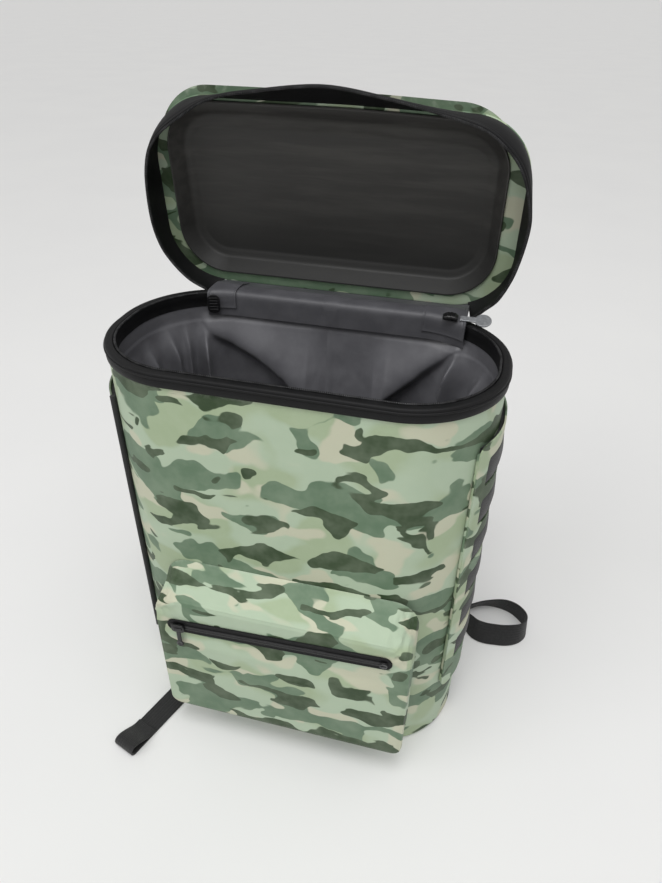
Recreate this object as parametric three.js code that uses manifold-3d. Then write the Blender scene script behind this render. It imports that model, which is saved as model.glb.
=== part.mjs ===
// Cooler backpack that stands open: a padded bag with half-round ends and its lid folded back.
// Millimetres. X runs to the right seen from the front, Y to the back, Z up.
// The origin is the middle of the base.

import * as THREE from "three";
import { mergeVertices } from "three/addons/utils/BufferGeometryUtils.js";
import Module from "manifold-3d";

const wasm = await Module();
wasm.setup();

// Clearance between pieces that touch
const seatGap = 0.3;

// Bag: padded walls and base
const bagWidth = 341;
const bagDepth = 174;
const bagHeight = 420;
const bagCornerRadius = 81;
const wallThickness = 6;
const baseThickness = 8;
const baseEdgeRadius = 6;
const frontBulge = 2.5;

// Liner bag with its folds
const linerThickness = 1.5;
const linerFoldDepth = 26;
const linerFloorClearance = 6;

// Band round the mouth, and the zip tape inside it
const rimHeight = 12;
const rimProud = 1.7;
const rimEdgeRound = 1.2;
const tapeHeight = 14;
const tapeThickness = 1.2;
const teethWidth = 1.8;
const teethHeight = 1.4;

// Hinge fabric between the mouth and the lid
const hingeLeft = -117;
const hingeRight = 127;
const hingeThickness = 1.4;
const hingeFlapDepth = 22;
const hingeRise = 0.4;
const patchHeight = 15;
const patchThickness = 1;

// Lid: flat flange with a moulded dome, leaning forward a little
const lidWidth = 339;
const lidHeight = 174;
const lidLowerRadius = 55;
const lidUpperLeftRadius = 60;
const lidUpperRightRadius = 52;
const lidRightDrop = 4;
const lidShiftX = -4.5;
const lidBottomRise = 3;
const lidPlaneY = 120.5;
const lidPlaneZ = 412;
const lidLean = 5.7;
const lidThickness = 3;
const trayWidth = 312;
const trayHeight = 154;
const trayCornerRadius = 45;
const trayShiftX = -4;
const trayBottomRise = 19;
const trayDepth = 18;
const trayDraft = 14;
const trayFillet = 5;
const trayThickness = 1.6;
const trayLipProud = 1.2;

// Zip band that stands forward round the lid
const bandReach = 26;
const bandThickness = 1.8;
const bandBelly = 1.5;
const bandInset = 0.5;
const bandHalfWidth = 174.2;
const bandShiftX = -3.2;
const bandMiddle = 82;
const bandArch = 113;
const bandDroop = 82;
const bandUpperSquareness = 2.3;
const bandLowerSquareness = 3.7;

// Slider and pull at the right end of the long zip
const lidSliderX = 120;
const lidSliderLength = 15;
const lidSliderWidth = 11;
const lidSliderHeight = 6;
const lidPullLength = 27;
const lidPullHead = 15;
const lidPullNeck = 6;
const lidPullThickness = 1.6;
const lidPullRise = 1.2;
const zipEndWidth = 12;
const zipEndLength = 19;
const zipEndThickness = 2.2;
const zipEndInset = 6;

// Front pocket
const pocketWidth = 242;
const pocketShiftX = 9;
const pocketBottom = 46;
const pocketTop = 224;
const pocketDepth = 35;
const pocketTopRadius = 24;
const pocketFootRadius = 11;
const pocketWall = 2.4;
const pocketTopSlope = 20;
const pocketEdgeRound = 9;

// Pocket zip with its slider, pull and end stop
const pocketZipLength = 212;
const pocketZipHeight = 14;
const pocketZipThickness = 1.2;
const pocketZipShiftX = 7;
const pocketZipRise = 133;
const pocketZipTilt = 2.9;
const pocketTeethHeight = 5;
const pocketTeethProud = 0.8;
const pocketSliderLength = 13;
const pocketSliderHeight = 9;
const pocketSliderProud = 3.4;
const pocketSliderInset = 12;
const pocketPullLength = 19;
const pocketPullWidth = 7;
const pocketPullNeck = 4;
const pocketPullThickness = 1.8;
const pocketStopLength = 7;
const pocketStopHeight = 8;
const pocketStopProud = 1.6;

// Side panels: a sheet with six windows over a dark backing that swells through them
const panelFrontArc = 76;
const panelBottom = 74;
const panelTop = 376;
const panelThickness = 1.4;
const backingThickness = 2.8;
const backingMargin = 4;
const backingShow = 0.8;
const windowMargin = 13;
const windowCount = 6;
const windowHeight = 30;
const windowPitch = 44;
const windowTopDrop = 16;
const windowClearance = 0.5;
const swellProud = 1.6;

// Back pad
const backPadWidth = 210;
const backPadBottom = 34;
const backPadTop = 402;
const backPadThickness = 11;
const backPadCornerRadius = 36;
const backPadEdgeRound = 4;

// Shoulder straps, with their lock, lower webbing and anchors
const strapSpacing = 96;
const strapWidth = 60;
const strapThickness = 9;
const strapTop = 356;
const strapBottom = 150;
const strapBow = 34;
const yokeHeight = 24;
const yokeThickness = 3;
const webWidth = 25;
const webThickness = 1.6;
const lockWidth = 33;
const lockHeight = 26;
const lockThickness = 7;
const anchorSpacing = 262;
const anchorHeight = 30;
const anchorZ = 28;

// Grab handle on the back
const handleSpan = 92;
const handleReach = 30;
const handleZ = 385;

// Free strap ends. Rows run along the strap's middle line. The left end drops from its lock and
// lies under the base. The right end drops behind the bag and stands on its edge in a loop: a
// row without z stands on the ground, tilt is the lean of its width in degrees, and hang is how
// much of its width still lies across the back
const tailGrooveDepth = 2.2;
const tailStart = { x: -63, y: 98 };
const tailEnd = { x: -154, y: -166 };
const tailFold = 34;
const tailDrop = [
  { x: -66, y: 121.4, z: 133 },
  { x: -66, y: 122, z: 112 },
  { x: -65, y: 123, z: 60 },
  { x: -63, y: 121, z: 22 },
  { x: -61, y: 115, z: 6 },
];
const loopRoute = [
  { x: 66, y: 121.4, z: 133, tilt: 0, hang: 1 },
  { x: 66, y: 123, z: 112, tilt: 0, hang: 1 },
  { x: 78, y: 128, z: 76, tilt: 10, hang: 1 },
  { x: 104, y: 129, z: 42, tilt: 30, hang: 0.6 },
  { x: 134, y: 121, z: 19, tilt: 50, hang: 0.2 },
  { x: 158, y: 113, tilt: 62, hang: 0 },
  { x: 174, y: 112, tilt: 66, hang: 0 },
  { x: 184, y: 117, tilt: 66, hang: 0 },
  { x: 195, y: 125.5, tilt: 62, hang: 0 },
  { x: 208, y: 130.4, tilt: 64, hang: 0 },
  { x: 223, y: 131.4, tilt: 74, hang: 0 },
  { x: 234, y: 129, tilt: 80, hang: 0 },
  { x: 243, y: 123.5, tilt: 85, hang: 0 },
  { x: 250.5, y: 115, tilt: 87, hang: 0 },
  { x: 253.4, y: 105.5, tilt: 86, hang: 0 },
  { x: 251.5, y: 97, tilt: 80, hang: 0 },
  { x: 246.2, y: 90.5, tilt: 72, hang: 0 },
  { x: 238, y: 86, tilt: 60, hang: 0 },
  { x: 228, y: 83.2, tilt: 51, hang: 0 },
  { x: 216, y: 82, tilt: 47, hang: 0 },
  { x: 206, y: 81.5, tilt: 46, hang: 0 },
  { x: 197, y: 82, tilt: 54, hang: 0 },
  { x: 190, y: 84.5, tilt: 66, hang: 0 },
  { x: 182, y: 91, tilt: 76, hang: 0 },
  { x: 171, y: 96.5, tilt: 80, hang: 0 },
  { x: 154, y: 99, tilt: 80, hang: 0 },
];

// Liner folds: place round the mouth (share of the outline from the middle of the front, to the
// right first), width (share of the outline), depth (share of the fold depth), how far the fold
// drifts on its way down (share of the outline), and where it starts (share of the height)
const linerFolds = [
  { place: 0.16, width: 0.03, depth: 0.45, drift: 0.01, start: 0.06 },
  { place: 0.235, width: 0.022, depth: 0.7, drift: -0.01, start: 0.05 },
  { place: 0.3, width: 0.026, depth: 0.6, drift: 0.02, start: 0.04 },
  { place: 0.375, width: 0.035, depth: 1, drift: 0.06, start: 0.06 },
  { place: 0.47, width: 0.04, depth: 0.4, drift: 0.02, start: 0.12 },
  { place: 0.56, width: 0.035, depth: 0.55, drift: -0.02, start: 0.06 },
  { place: 0.63, width: 0.022, depth: 1, drift: 0.01, start: 0.05 },
  { place: 0.69, width: 0.018, depth: 0.6, drift: 0, start: 0.05 },
  { place: 0.74, width: 0.018, depth: 0.7, drift: -0.01, start: 0.05 },
  { place: 0.8, width: 0.022, depth: 0.5, drift: 0, start: 0.06 },
  { place: 0.9, width: 0.04, depth: 0.5, drift: -0.01, start: 0.1 },
];

// Steps of the round stretches
const outlineCornerSteps = 10;
const outlineStraightSteps = 6;
const lidCornerSteps = 8;
const smallCornerSteps = 4;
const panelSteps = 8;
const hingeBendSteps = 4;

const point = (x, y, z) => new THREE.Vector3(x, y, z);
const share = (from, to, t) => from + (to - from) * t;
const radians = THREE.MathUtils.degToRad;
const smooth = THREE.MathUtils.smoothstep;

// Closed geometry from points and triangles, with its faces turned outward
function closedGeometry(points, triangles) {
  let volume = 0;
  const faceNormal = new THREE.Vector3();
  for (let i = 0; i < triangles.length; i += 3) {
    const [a, b, c] = [0, 1, 2].map((k) => points[triangles[i + k]]);
    volume += a.dot(faceNormal.crossVectors(b, c));
  }
  const outward = volume > 0 ? triangles : triangles.slice().reverse();
  const geometry = new THREE.BufferGeometry().setFromPoints(points);
  geometry.setIndex(outward);
  geometry.computeVertexNormals();
  return geometry;
}

// Body through a row of rings with equal counts, capped at its ends or running round. Each
// four-sided patch is split along its shorter diagonal. The ring of a thin bent sheet runs along
// one face and back along the other, and its caps are strips between the two
function skin(rings, runsRound = false, bentSheet = false) {
  const count = rings[0].length;
  const points = rings.flat();
  const triangles = [];
  const spans = runsRound ? rings.length : rings.length - 1;
  for (let i = 0; i < spans; i++) {
    const a = i * count;
    const b = ((i + 1) % rings.length) * count;
    for (let j = 0; j < count; j++) {
      const k = (j + 1) % count;
      const falling = points[a + j].distanceTo(points[b + k]);
      const rising = points[a + k].distanceTo(points[b + j]);
      if (falling <= rising + 0.001) triangles.push(a + j, a + k, b + k, a + j, b + k, b + j);
      else triangles.push(a + j, a + k, b + j, a + k, b + k, b + j);
    }
  }
  if (!runsRound) {
    const capEnds = [{ ring: rings[0], start: 0, turn: 1 }];
    capEnds.push({ ring: rings[spans], start: spans * count, turn: 0 });
    for (const { ring, start, turn } of capEnds) {
      if (bentSheet) {
        triangles.push(...stripCap(start, count, turn));
        continue;
      }
      const middle = ring.reduce((sum, p) => sum.add(p), point(0, 0, 0)).divideScalar(count);
      points.push(middle);
      for (let j = 0; j < count; j++) {
        const pair = [start + j, start + ((j + 1) % count)];
        triangles.push(points.length - 1, pair[turn], pair[1 - turn]);
      }
    }
  }
  return closedGeometry(points, triangles);
}

function stripCap(start, count, turn) {
  const triangles = [];
  for (let j = 0; j < count / 2 - 1; j++) {
    const [a, b, c, d] = [j, j + 1, count - 2 - j, count - 1 - j].map((k) => start + k);
    triangles.push(...(turn ? [a, c, b, a, d, c] : [a, b, c, a, c, d]));
  }
  return triangles;
}

// Outline of a rectangle with round corners, counter-clockwise from its lower right corner.
// The radius is one number, or one for each corner. Each row holds the place and the outward
// direction
function roundedOutline(width, height, radius, cornerSteps, straightSteps = 1, sideSteps = 1) {
  const radii = Array.isArray(radius) ? radius : [radius, radius, radius, radius];
  const corners = [[1, -1, -90], [1, 1, 0], [-1, 1, 90], [-1, -1, 180]].map(([right, up, from], i) => {
    const bend = Math.min(radii[i], width / 2, height / 2);
    return { x: right * (width / 2 - bend), y: up * (height / 2 - bend), bend, from };
  });
  const rows = [];
  const addStraight = (y, directionY, fromX, toX) => {
    for (let i = 1; i < straightSteps; i++) {
      rows.push({ x: share(fromX, toX, i / straightSteps), y, nx: 0, ny: directionY });
    }
  };
  const addSide = (x, directionX, fromY, toY) => {
    for (let i = 1; i < sideSteps; i++) {
      rows.push({ x, y: share(fromY, toY, i / sideSteps), nx: directionX, ny: 0 });
    }
  };
  corners.forEach((corner, index) => {
    for (let i = 0; i <= cornerSteps; i++) {
      const angle = radians(corner.from + (90 * i) / cornerSteps);
      const nx = Math.cos(angle);
      const ny = Math.sin(angle);
      rows.push({ x: corner.x + corner.bend * nx, y: corner.y + corner.bend * ny, nx, ny });
    }
    if (index === 0) addSide(width / 2, 1, corner.y, corners[1].y);
    if (index === 1) addStraight(height / 2, 1, corner.x, corners[2].x);
    if (index === 2) addSide(-width / 2, -1, corner.y, corners[3].y);
    if (index === 3) addStraight(-height / 2, -1, corner.x, corners[0].x);
  });
  return rows;
}

const bagOutline = roundedOutline(
  bagWidth, bagDepth, bagCornerRadius, outlineCornerSteps, outlineStraightSteps);

// Ring of the bag's outline moved outward by an offset, at a height
const bagRing = (offset, z) => bagOutline.map((p) => point(p.x + p.nx * offset, p.y + p.ny * offset, z));

// Depth of the bag's back face at a place across it, moved outward by an offset
function backFaceY(x, offset) {
  const straight = bagWidth / 2 - bagCornerRadius;
  const past = Math.max(0, Math.abs(x) - straight);
  const radius = bagCornerRadius + offset;
  return bagDepth / 2 - bagCornerRadius + Math.sqrt(radius * radius - past * past);
}

const quarterArc = (Math.PI / 2) * bagCornerRadius;
const sideFlat = bagDepth - 2 * bagCornerRadius;
const endArc = 2 * quarterArc + sideFlat;

// Point on a half-round end. The arc runs from where the front turns into the end; the side is
// 1 for the right end and -1 for the left
function endPoint(arc, offset, z, side) {
  const onFlat = Math.min(Math.max(arc - quarterArc, 0), sideFlat);
  const angle = (arc - onFlat) / bagCornerRadius;
  const radius = bagCornerRadius + offset;
  const x = bagWidth / 2 - bagCornerRadius + radius * Math.sin(angle);
  const y = bagCornerRadius - bagDepth / 2 + onFlat - radius * Math.cos(angle);
  return point(side * x, y, z);
}

// Curved slab on a half-round end: a section of offsets and heights, swept along the arc
function endSlab(fromArc, toArc, side, section) {
  const rings = [];
  for (let i = 0; i <= panelSteps; i++) {
    const along = i / panelSteps;
    const arc = share(fromArc, toArc, along);
    rings.push(section(along).map(([offset, z]) => endPoint(arc, offset, z, side)));
  }
  return skin(rings);
}

// Flat band along a route. Each stop has its place and the direction of its width, which is
// turned square to the route unless the stop is level, and may have its own width or
// thickness
function ribbon(stops, width, thickness) {
  const places = stops.map((stop) => stop.place);
  const rings = stops.map((stop, i) => {
    const before = places[Math.max(i - 1, 0)];
    const after = places[Math.min(i + 1, places.length - 1)];
    const along = after.clone().sub(before).normalize();
    const lean = stop.level ? 0 : stop.across.dot(along);
    const across = stop.across.clone().addScaledVector(along, -lean).normalize();
    const face = new THREE.Vector3().crossVectors(along, across).normalize();
    const thick = stop.thickness ?? thickness;
    const wide = stop.width ?? width;
    const corners = [[-1, -1], [1, -1], [1, 1], [-1, 1]];
    return corners.map(([u, v]) =>
      stop.place.clone().addScaledVector(across, (u * wide) / 2).addScaledVector(face, (v * thick) / 2));
  });
  return skin(rings);
}

// Plate with round corners, its lower face on the plane z = 0 of its own frame
function plate(width, height, radius, thickness) {
  const rows = roundedOutline(width, height, radius, smallCornerSteps);
  const ring = (z) => rows.map((p) => point(p.x, p.y, z));
  return skin([ring(0), ring(thickness)]);
}

function toSolid(geometry) {
  const bare = geometry.clone();
  bare.deleteAttribute("normal");
  bare.deleteAttribute("uv");
  const merged = mergeVertices(bare, 1e-4);
  return new wasm.Manifold(new wasm.Mesh({
    numProp: 3,
    vertProperties: new Float32Array(merged.attributes.position.array),
    triVerts: new Uint32Array(merged.index.array),
  }));
}

function toGeometry(solid) {
  const mesh = solid.getMesh();
  const geometry = new THREE.BufferGeometry();
  geometry.setAttribute("position", new THREE.BufferAttribute(mesh.vertProperties, 3));
  geometry.setIndex(new THREE.BufferAttribute(mesh.triVerts, 1));
  geometry.computeVertexNormals();
  return geometry;
}

const finish = (color, roughness, metalness = 0) =>
  new THREE.MeshStandardMaterial({ color, roughness, metalness });
const camouflage = finish(0x9db596, 0.6);
const linerSatin = finish(0x3a3a3d, 0.35);
const blackTape = finish(0x232324, 0.7);
const blackTeeth = finish(0x1b1b1c, 0.4);
const hingeGrey = finish(0x55555a, 0.5);
const trayCharcoal = finish(0x373634, 0.55);
const blackWeb = finish(0x1f1f20, 0.75);
const blackPlastic = finish(0x18181a, 0.4);
const pullMetal = finish(0x6d6f72, 0.35, 0.6);
const padBlack = finish(0x2a2a2c, 0.85);

const backpack = new THREE.Group();

function add(name, geometry, material, parent = backpack) {
  const mesh = new THREE.Mesh(geometry, material);
  mesh.name = name;
  parent.add(mesh);
  return mesh;
}

// Bag
const wallTop = bagHeight - rimHeight - seatGap;

// The front wall swells a little between the base and the mouth
function bulgedRing(z) {
  const swell = frontBulge * Math.sin(Math.PI * (z / wallTop));
  return bagOutline.map((p) => {
    const onFront = smooth(-p.ny, 0.6, 1) * (1 - smooth(Math.abs(p.x), bagWidth / 4, bagWidth / 2));
    return point(p.x, p.y - swell * onFront, z);
  });
}

function makeBody() {
  const rings = [];
  for (const turn of [0, 30, 60]) {
    const angle = radians(turn);
    const inset = baseEdgeRadius * (1 - Math.sin(angle));
    rings.push(bagRing(-inset, baseEdgeRadius * (1 - Math.cos(angle))));
  }
  for (const level of [0, 0.25, 0.5, 0.75, 1]) {
    rings.push(bulgedRing(share(baseEdgeRadius, wallTop, level)));
  }
  rings.push(bagRing(-wallThickness, wallTop), bagRing(-wallThickness, baseThickness));
  const shell = toSolid(skin(rings));
  const groove = toSolid(tailBand(webWidth + 2, 2 * tailGrooveDepth));
  return toGeometry(shell.subtract(groove));
}

// Straight band on the ground from behind the bag, under its base, to the front left
function tailBand(width, thickness) {
  const start = point(tailStart.x, tailStart.y, 0);
  const end = point(tailEnd.x, tailEnd.y, 0);
  const run = end.clone().sub(start);
  const across = point(run.y, -run.x, 0).normalize();
  const stops = [0, 1].map((t) => ({ place: start.clone().addScaledVector(run, t), across }));
  return ribbon(stops, width, thickness);
}

// Inward fold of the liner at a place on the outline and a share of the way down
function foldDepth(along, down) {
  let depth = 0;
  for (const fold of linerFolds) {
    let away = Math.abs(along - (fold.place + fold.drift * down));
    away = Math.min(away, 1 - away);
    const rise = smooth(down, fold.start, fold.start + 0.22) * (1 - 0.75 * smooth(down, 0.55, 1));
    depth += fold.depth * rise * Math.exp(-((away / fold.width) ** 2));
  }
  return linerFoldDepth * Math.min(depth, 1);
}

function makeLiner() {
  const top = bagHeight - tapeHeight - seatGap;
  const floor = baseThickness + seatGap;
  const middleIndex = bagOutline.findIndex((p) => p.nx > 0);
  const lengths = bagOutline.map((p, i) => {
    const q = bagOutline[(i + 1) % bagOutline.length];
    return Math.hypot(q.x - p.x, q.y - p.y);
  });
  const total = lengths.reduce((sum, length) => sum + length, 0);
  const places = [];
  let run = bagWidth / 2 - bagCornerRadius;
  for (let i = 0; i < bagOutline.length; i++) {
    const index = (middleIndex + i - 1 + bagOutline.length) % bagOutline.length;
    places[index] = (run / total) % 1;
    run += lengths[index];
  }
  const ring = (inset, down) => {
    const z = share(top, floor + linerFloorClearance, down);
    return bagOutline.map((p, i) => {
      const offset = -(wallThickness + seatGap + inset) - foldDepth(places[i], down);
      return point(p.x + p.nx * offset, p.y + p.ny * offset, z);
    });
  };
  const levels = [0, 0.06, 0.14, 0.24, 0.42, 0.68, 1];
  const rings = [bagRing(-(wallThickness + linerFloorClearance), floor)];
  for (const level of levels.slice().reverse()) rings.push(ring(0, level));
  for (const level of levels) rings.push(ring(linerThickness, level));
  rings.push(bagRing(-(wallThickness + linerFloorClearance + linerThickness), floor + linerThickness));
  return skin(rings);
}

function makeRim() {
  const low = bagHeight - rimHeight;
  const inner = -wallThickness;
  return skin([
    bagRing(inner, low),
    bagRing(rimProud, low),
    bagRing(rimProud, bagHeight - rimEdgeRound),
    bagRing(rimProud - rimEdgeRound, bagHeight),
    bagRing(inner + rimEdgeRound, bagHeight),
    bagRing(inner, bagHeight - rimEdgeRound),
  ], true);
}

// Rows of the outline from the right end of the hinge, round the front, to its left end
function mouthRows(offset, clearance) {
  const right = hingeRight + clearance;
  const left = hingeLeft - clearance;
  const moved = bagOutline.map((p) => ({ ...p, x: p.x + p.nx * offset, y: p.y + p.ny * offset }));
  const open = moved.filter((p) => p.ny <= 0 || p.x > right + 1 || p.x < left - 1);
  const firstIndex = open.findIndex((p, i) => p.ny > 0 && open[(i + 1) % open.length].x < left && p.x > right);
  const rows = open.map((_, i) => open[(firstIndex - i + open.length) % open.length]);
  const edge = (x) => {
    const y = backFaceY(x, offset);
    const ny = (y - bagDepth / 2 + bagCornerRadius) / (bagCornerRadius + offset);
    return { x, y, nx: Math.sign(x) * Math.sqrt(Math.max(0, 1 - ny * ny)), ny };
  };
  return [edge(right), ...rows, edge(left)];
}

function mouthStrip(offset, clearance, section) {
  const rings = mouthRows(offset, clearance).map((p) =>
    section.map(([out, z]) => point(p.x + p.nx * out, p.y + p.ny * out, z)));
  return skin(rings);
}

function makeTape() {
  const low = bagHeight - tapeHeight;
  const high = bagHeight - rimEdgeRound;
  return mouthStrip(-(wallThickness + seatGap), 1, [
    [0, low], [0, high], [-tapeThickness, high], [-tapeThickness, low],
  ]);
}

function makeTeeth() {
  const low = bagHeight - rimEdgeRound + seatGap;
  const high = low + teethHeight;
  return mouthStrip(-(wallThickness + seatGap), 10, [
    [0, low], [0, high], [-teethWidth, high], [-teethWidth, low],
  ]);
}

// Hinge fabric: from inside the back wall, over the rim and back to the lid's lower edge
const flapOffset = -(wallThickness + linerThickness + tapeThickness + 2 * seatGap);
const backStraight = bagWidth / 2 - bagCornerRadius;

// Places across the hinge: close together where the wall bends, with the straight between
const spread = (from, to, steps) => Array.from({ length: steps + 1 }, (_, i) => share(from, to, i / steps));
const hingeLeftBend = spread(hingeLeft, -backStraight, hingeBendSteps);
const hingeRightBend = spread(backStraight, hingeRight, hingeBendSteps + 1);

function makeHinge() {
  const rimTop = bagHeight + seatGap;
  const lidFoot = lidPlaneZ + lidBottomRise;
  const rows = [
    (x, lift) => point(x, backFaceY(x, flapOffset - lift), bagHeight - hingeFlapDepth),
    (x, lift) => point(x, backFaceY(x, flapOffset - lift), rimTop + lift * 0.6),
    (x, lift) => point(x, backFaceY(x, flapOffset + 3), rimTop + hingeRise + lift),
    (x, lift) => point(x, backFaceY(x, rimProud), rimTop + hingeRise + lift),
    (x, lift) => point(x, bagDepth / 2 + rimProud + 8, rimTop + lift),
    (x, lift) => point(x, lidPlaneY - 14, lidFoot + 1.2 + lift),
    (x, lift) => point(x, lidPlaneY - 2.2, lidFoot - hingeThickness - 2.4 + lift),
  ];
  const rings = [...hingeLeftBend, 0, ...hingeRightBend].map((x) => {
    const under = rows.map((row) => row(x, 0));
    const over = rows.map((row) => row(x, hingeThickness)).reverse();
    return [...under, ...over];
  });
  return skin(rings, false, true);
}

// Reinforcing patch on the inside flap, at an end of the hinge
function makePatch(places) {
  const lift = flapOffset - hingeThickness - seatGap;
  const top = bagHeight - 3;
  const section = [
    [lift, top - patchHeight], [lift, top], [lift - patchThickness, top], [lift - patchThickness, top - patchHeight],
  ];
  return skin(places.map((x) => section.map(([offset, z]) => point(x, backFaceY(x, offset), z))));
}

// Lid, drawn in its own frame: X across, Y up the lid and Z toward the viewer
const lid = new THREE.Group();
lid.position.set(0, lidPlaneY, lidPlaneZ);
lid.rotation.x = radians(90 + lidLean);
backpack.add(lid);

// The upper right of the lid lies a little lower than its upper left
function droppedOutline(width, height, radius, straightSteps, sideSteps) {
  return roundedOutline(width, height, radius, lidCornerSteps, straightSteps, sideSteps).map((p) => {
    const drop = lidRightDrop * smooth(p.x, 0, width / 2) * Math.max(0, (2 * p.y) / height);
    return { ...p, y: p.y - drop };
  });
}

const lidRadii = [lidLowerRadius, lidUpperRightRadius, lidUpperLeftRadius, lidLowerRadius];
const lidOutline = droppedOutline(lidWidth, lidHeight, lidRadii, 3, 1);
const lidMiddleY = lidBottomRise + lidHeight / 2;
const lidRing = (offset, z) =>
  lidOutline.map((p) => point(lidShiftX + p.x + p.nx * offset, lidMiddleY + p.y + p.ny * offset, z));

const trayOutline = droppedOutline(trayWidth, trayHeight, trayCornerRadius, 3, 1);
const trayMiddleY = trayBottomRise + trayHeight / 2;
const trayRing = (offset, z) =>
  trayOutline.map((p) => point(trayShiftX + p.x + p.nx * offset, trayMiddleY + p.y + p.ny * offset, z));

// Offsets and depths down the tray's sloped wall and over the fillet to its floor
function trayWall(outward) {
  const foot = 0.6;
  return [
    [outward, 0],
    [outward - trayDraft * foot, -(trayDepth - trayFillet)],
    [outward - trayDraft, -trayDepth + 1],
    [outward - trayDraft - trayFillet, -trayDepth],
  ];
}

function makeLidShell() {
  const outer = trayWall(lidThickness).map(([offset, z]) => trayRing(offset, z - lidThickness));
  const inner = trayWall(0).map(([offset, z]) => trayRing(offset, z));
  return skin([
    ...outer.reverse(),
    lidRing(0, -lidThickness),
    lidRing(0, 0),
    ...inner,
  ]);
}

function makeTray() {
  const outer = trayWall(-seatGap).map(([offset, z]) => trayRing(offset, z + seatGap));
  const inner = trayWall(-seatGap - trayThickness).map(([offset, z]) => trayRing(offset, z + seatGap + trayThickness));
  return skin([
    ...outer.reverse(),
    trayRing(-seatGap, trayLipProud),
    trayRing(-seatGap - trayThickness, trayLipProud + trayThickness / 2),
    ...inner.slice(1),
  ]);
}

// Zip band round the lid. Its root follows the lid's flange, and its free edge is a squarish
// oval that stands toward the viewer. It ends at both sides of the hinge
const bandRoot = droppedOutline(lidWidth, lidHeight, lidRadii, 6, 3);

function freeEdge(x, y) {
  const rise = y > bandMiddle ? bandArch : bandDroop;
  const squareness = y > bandMiddle ? bandUpperSquareness : bandLowerSquareness;
  const angle = Math.atan2((y - bandMiddle) / rise, (x - bandShiftX) / bandHalfWidth);
  const part = Math.abs(Math.cos(angle)) ** squareness + Math.abs(Math.sin(angle)) ** squareness;
  const radius = part ** (-1 / squareness);
  return point(bandShiftX + bandHalfWidth * radius * Math.cos(angle), bandMiddle + rise * radius * Math.sin(angle), bandReach);
}

function bandStops() {
  const stops = bandRoot.map((root) => {
    const rootX = lidShiftX + root.x - root.nx * bandInset;
    const rootY = lidMiddleY + root.y - root.ny * bandInset;
    return { rootPlace: point(rootX, rootY, seatGap), freePlace: freeEdge(rootX, rootY), nx: root.nx, ny: root.ny };
  });
  const lower = stops.filter((stop) => stop.ny < -0.5);
  const right = lower.filter((stop) => stop.freePlace.x > lidWidth / 4);
  const left = lower.filter((stop) => stop.freePlace.x < -lidWidth / 4);
  const upper = stops.filter((stop) => stop.ny >= -0.5);
  return [...right, ...upper, ...left];
}

// Space over the hinge that the band leaves free
function clearOfHinge(geometry) {
  const room = new THREE.BoxGeometry(hingeRight - hingeLeft + 2 * seatGap, bandMiddle, 4 * bandReach);
  room.translate((hingeLeft + hingeRight) / 2, 0, 0);
  return toGeometry(toSolid(geometry).subtract(toSolid(room)));
}

function makeBand() {
  const rings = bandStops().map(({ rootPlace, freePlace, nx, ny }) => {
    const middle = rootPlace.clone().lerp(freePlace, 0.5);
    middle.x += nx * bandBelly;
    middle.y += ny * bandBelly;
    const inward = point(-nx * bandThickness, -ny * bandThickness, 0);
    const outer = [rootPlace, middle, freePlace];
    return [...outer, ...outer.slice().reverse().map((p) => p.clone().add(inward))];
  });
  return clearOfHinge(skin(rings));
}

function makeLidTeeth() {
  const rings = bandStops().map(({ freePlace, nx, ny }) => {
    const base = freePlace.clone().add(point(-nx * bandThickness, -ny * bandThickness, seatGap));
    return [[0, 0], [teethWidth, 0], [teethWidth, teethHeight], [0, teethHeight]].map(([out, z]) =>
      base.clone().add(point(nx * out, ny * out, z)));
  });
  return clearOfHinge(skin(rings));
}

// Slider at the right end of the long zip, with its pull lying toward the right
const sliderAngle = Math.asin((lidSliderX - (bagWidth / 2 - bagCornerRadius)) / bagCornerRadius);
const sliderOffset = -(wallThickness + 4);
const sliderBase = bagHeight + hingeRise + hingeThickness + 2 * seatGap;
const lidHardware = new THREE.Group();
lidHardware.position.set(
  lidSliderX + sliderOffset * Math.sin(sliderAngle), backFaceY(lidSliderX, sliderOffset), sliderBase);
backpack.add(lidHardware);

function makeLidSlider() {
  const half = lidSliderLength / 2;
  const section = (w, z) => [[-w, 0], [w, 0], [w, z * 0.6], [w * 0.6, z], [-w * 0.6, z], [-w, z * 0.6]];
  const stations = [
    { x: -half, w: lidSliderWidth * 0.36, z: lidSliderHeight * 0.55 },
    { x: -half * 0.4, w: lidSliderWidth * 0.5, z: lidSliderHeight },
    { x: half * 0.5, w: lidSliderWidth * 0.5, z: lidSliderHeight },
    { x: half, w: lidSliderWidth * 0.4, z: lidSliderHeight * 0.6 },
  ];
  return skin(stations.map(({ x, w, z }) => section(w, z).map(([y, up]) => point(x, y, up))));
}

// Pull with a narrow neck and a round head, along X from the middle of its pin, which lies in
// the slider's mouth
function makePull(length, head, neck, thickness) {
  const shape = new THREE.Shape();
  const headX = length - head / 2;
  const neckTurn = Math.asin(neck / head);
  shape.moveTo(0, -neck / 2);
  shape.lineTo(headX - (head / 2) * Math.cos(neckTurn), -neck / 2);
  shape.absarc(headX, 0, head / 2, Math.PI + neckTurn, 3 * Math.PI - neckTurn, false);
  shape.lineTo(0, neck / 2);
  shape.closePath();
  const leaf = new THREE.ExtrudeGeometry(shape, { depth: thickness, bevelEnabled: false, curveSegments: 6 });
  leaf.translate(0, 0, -thickness / 2);
  const pin = new THREE.CylinderGeometry(thickness / 2, thickness / 2, neck, 8);
  return toGeometry(toSolid(leaf).add(toSolid(pin)));
}

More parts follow.
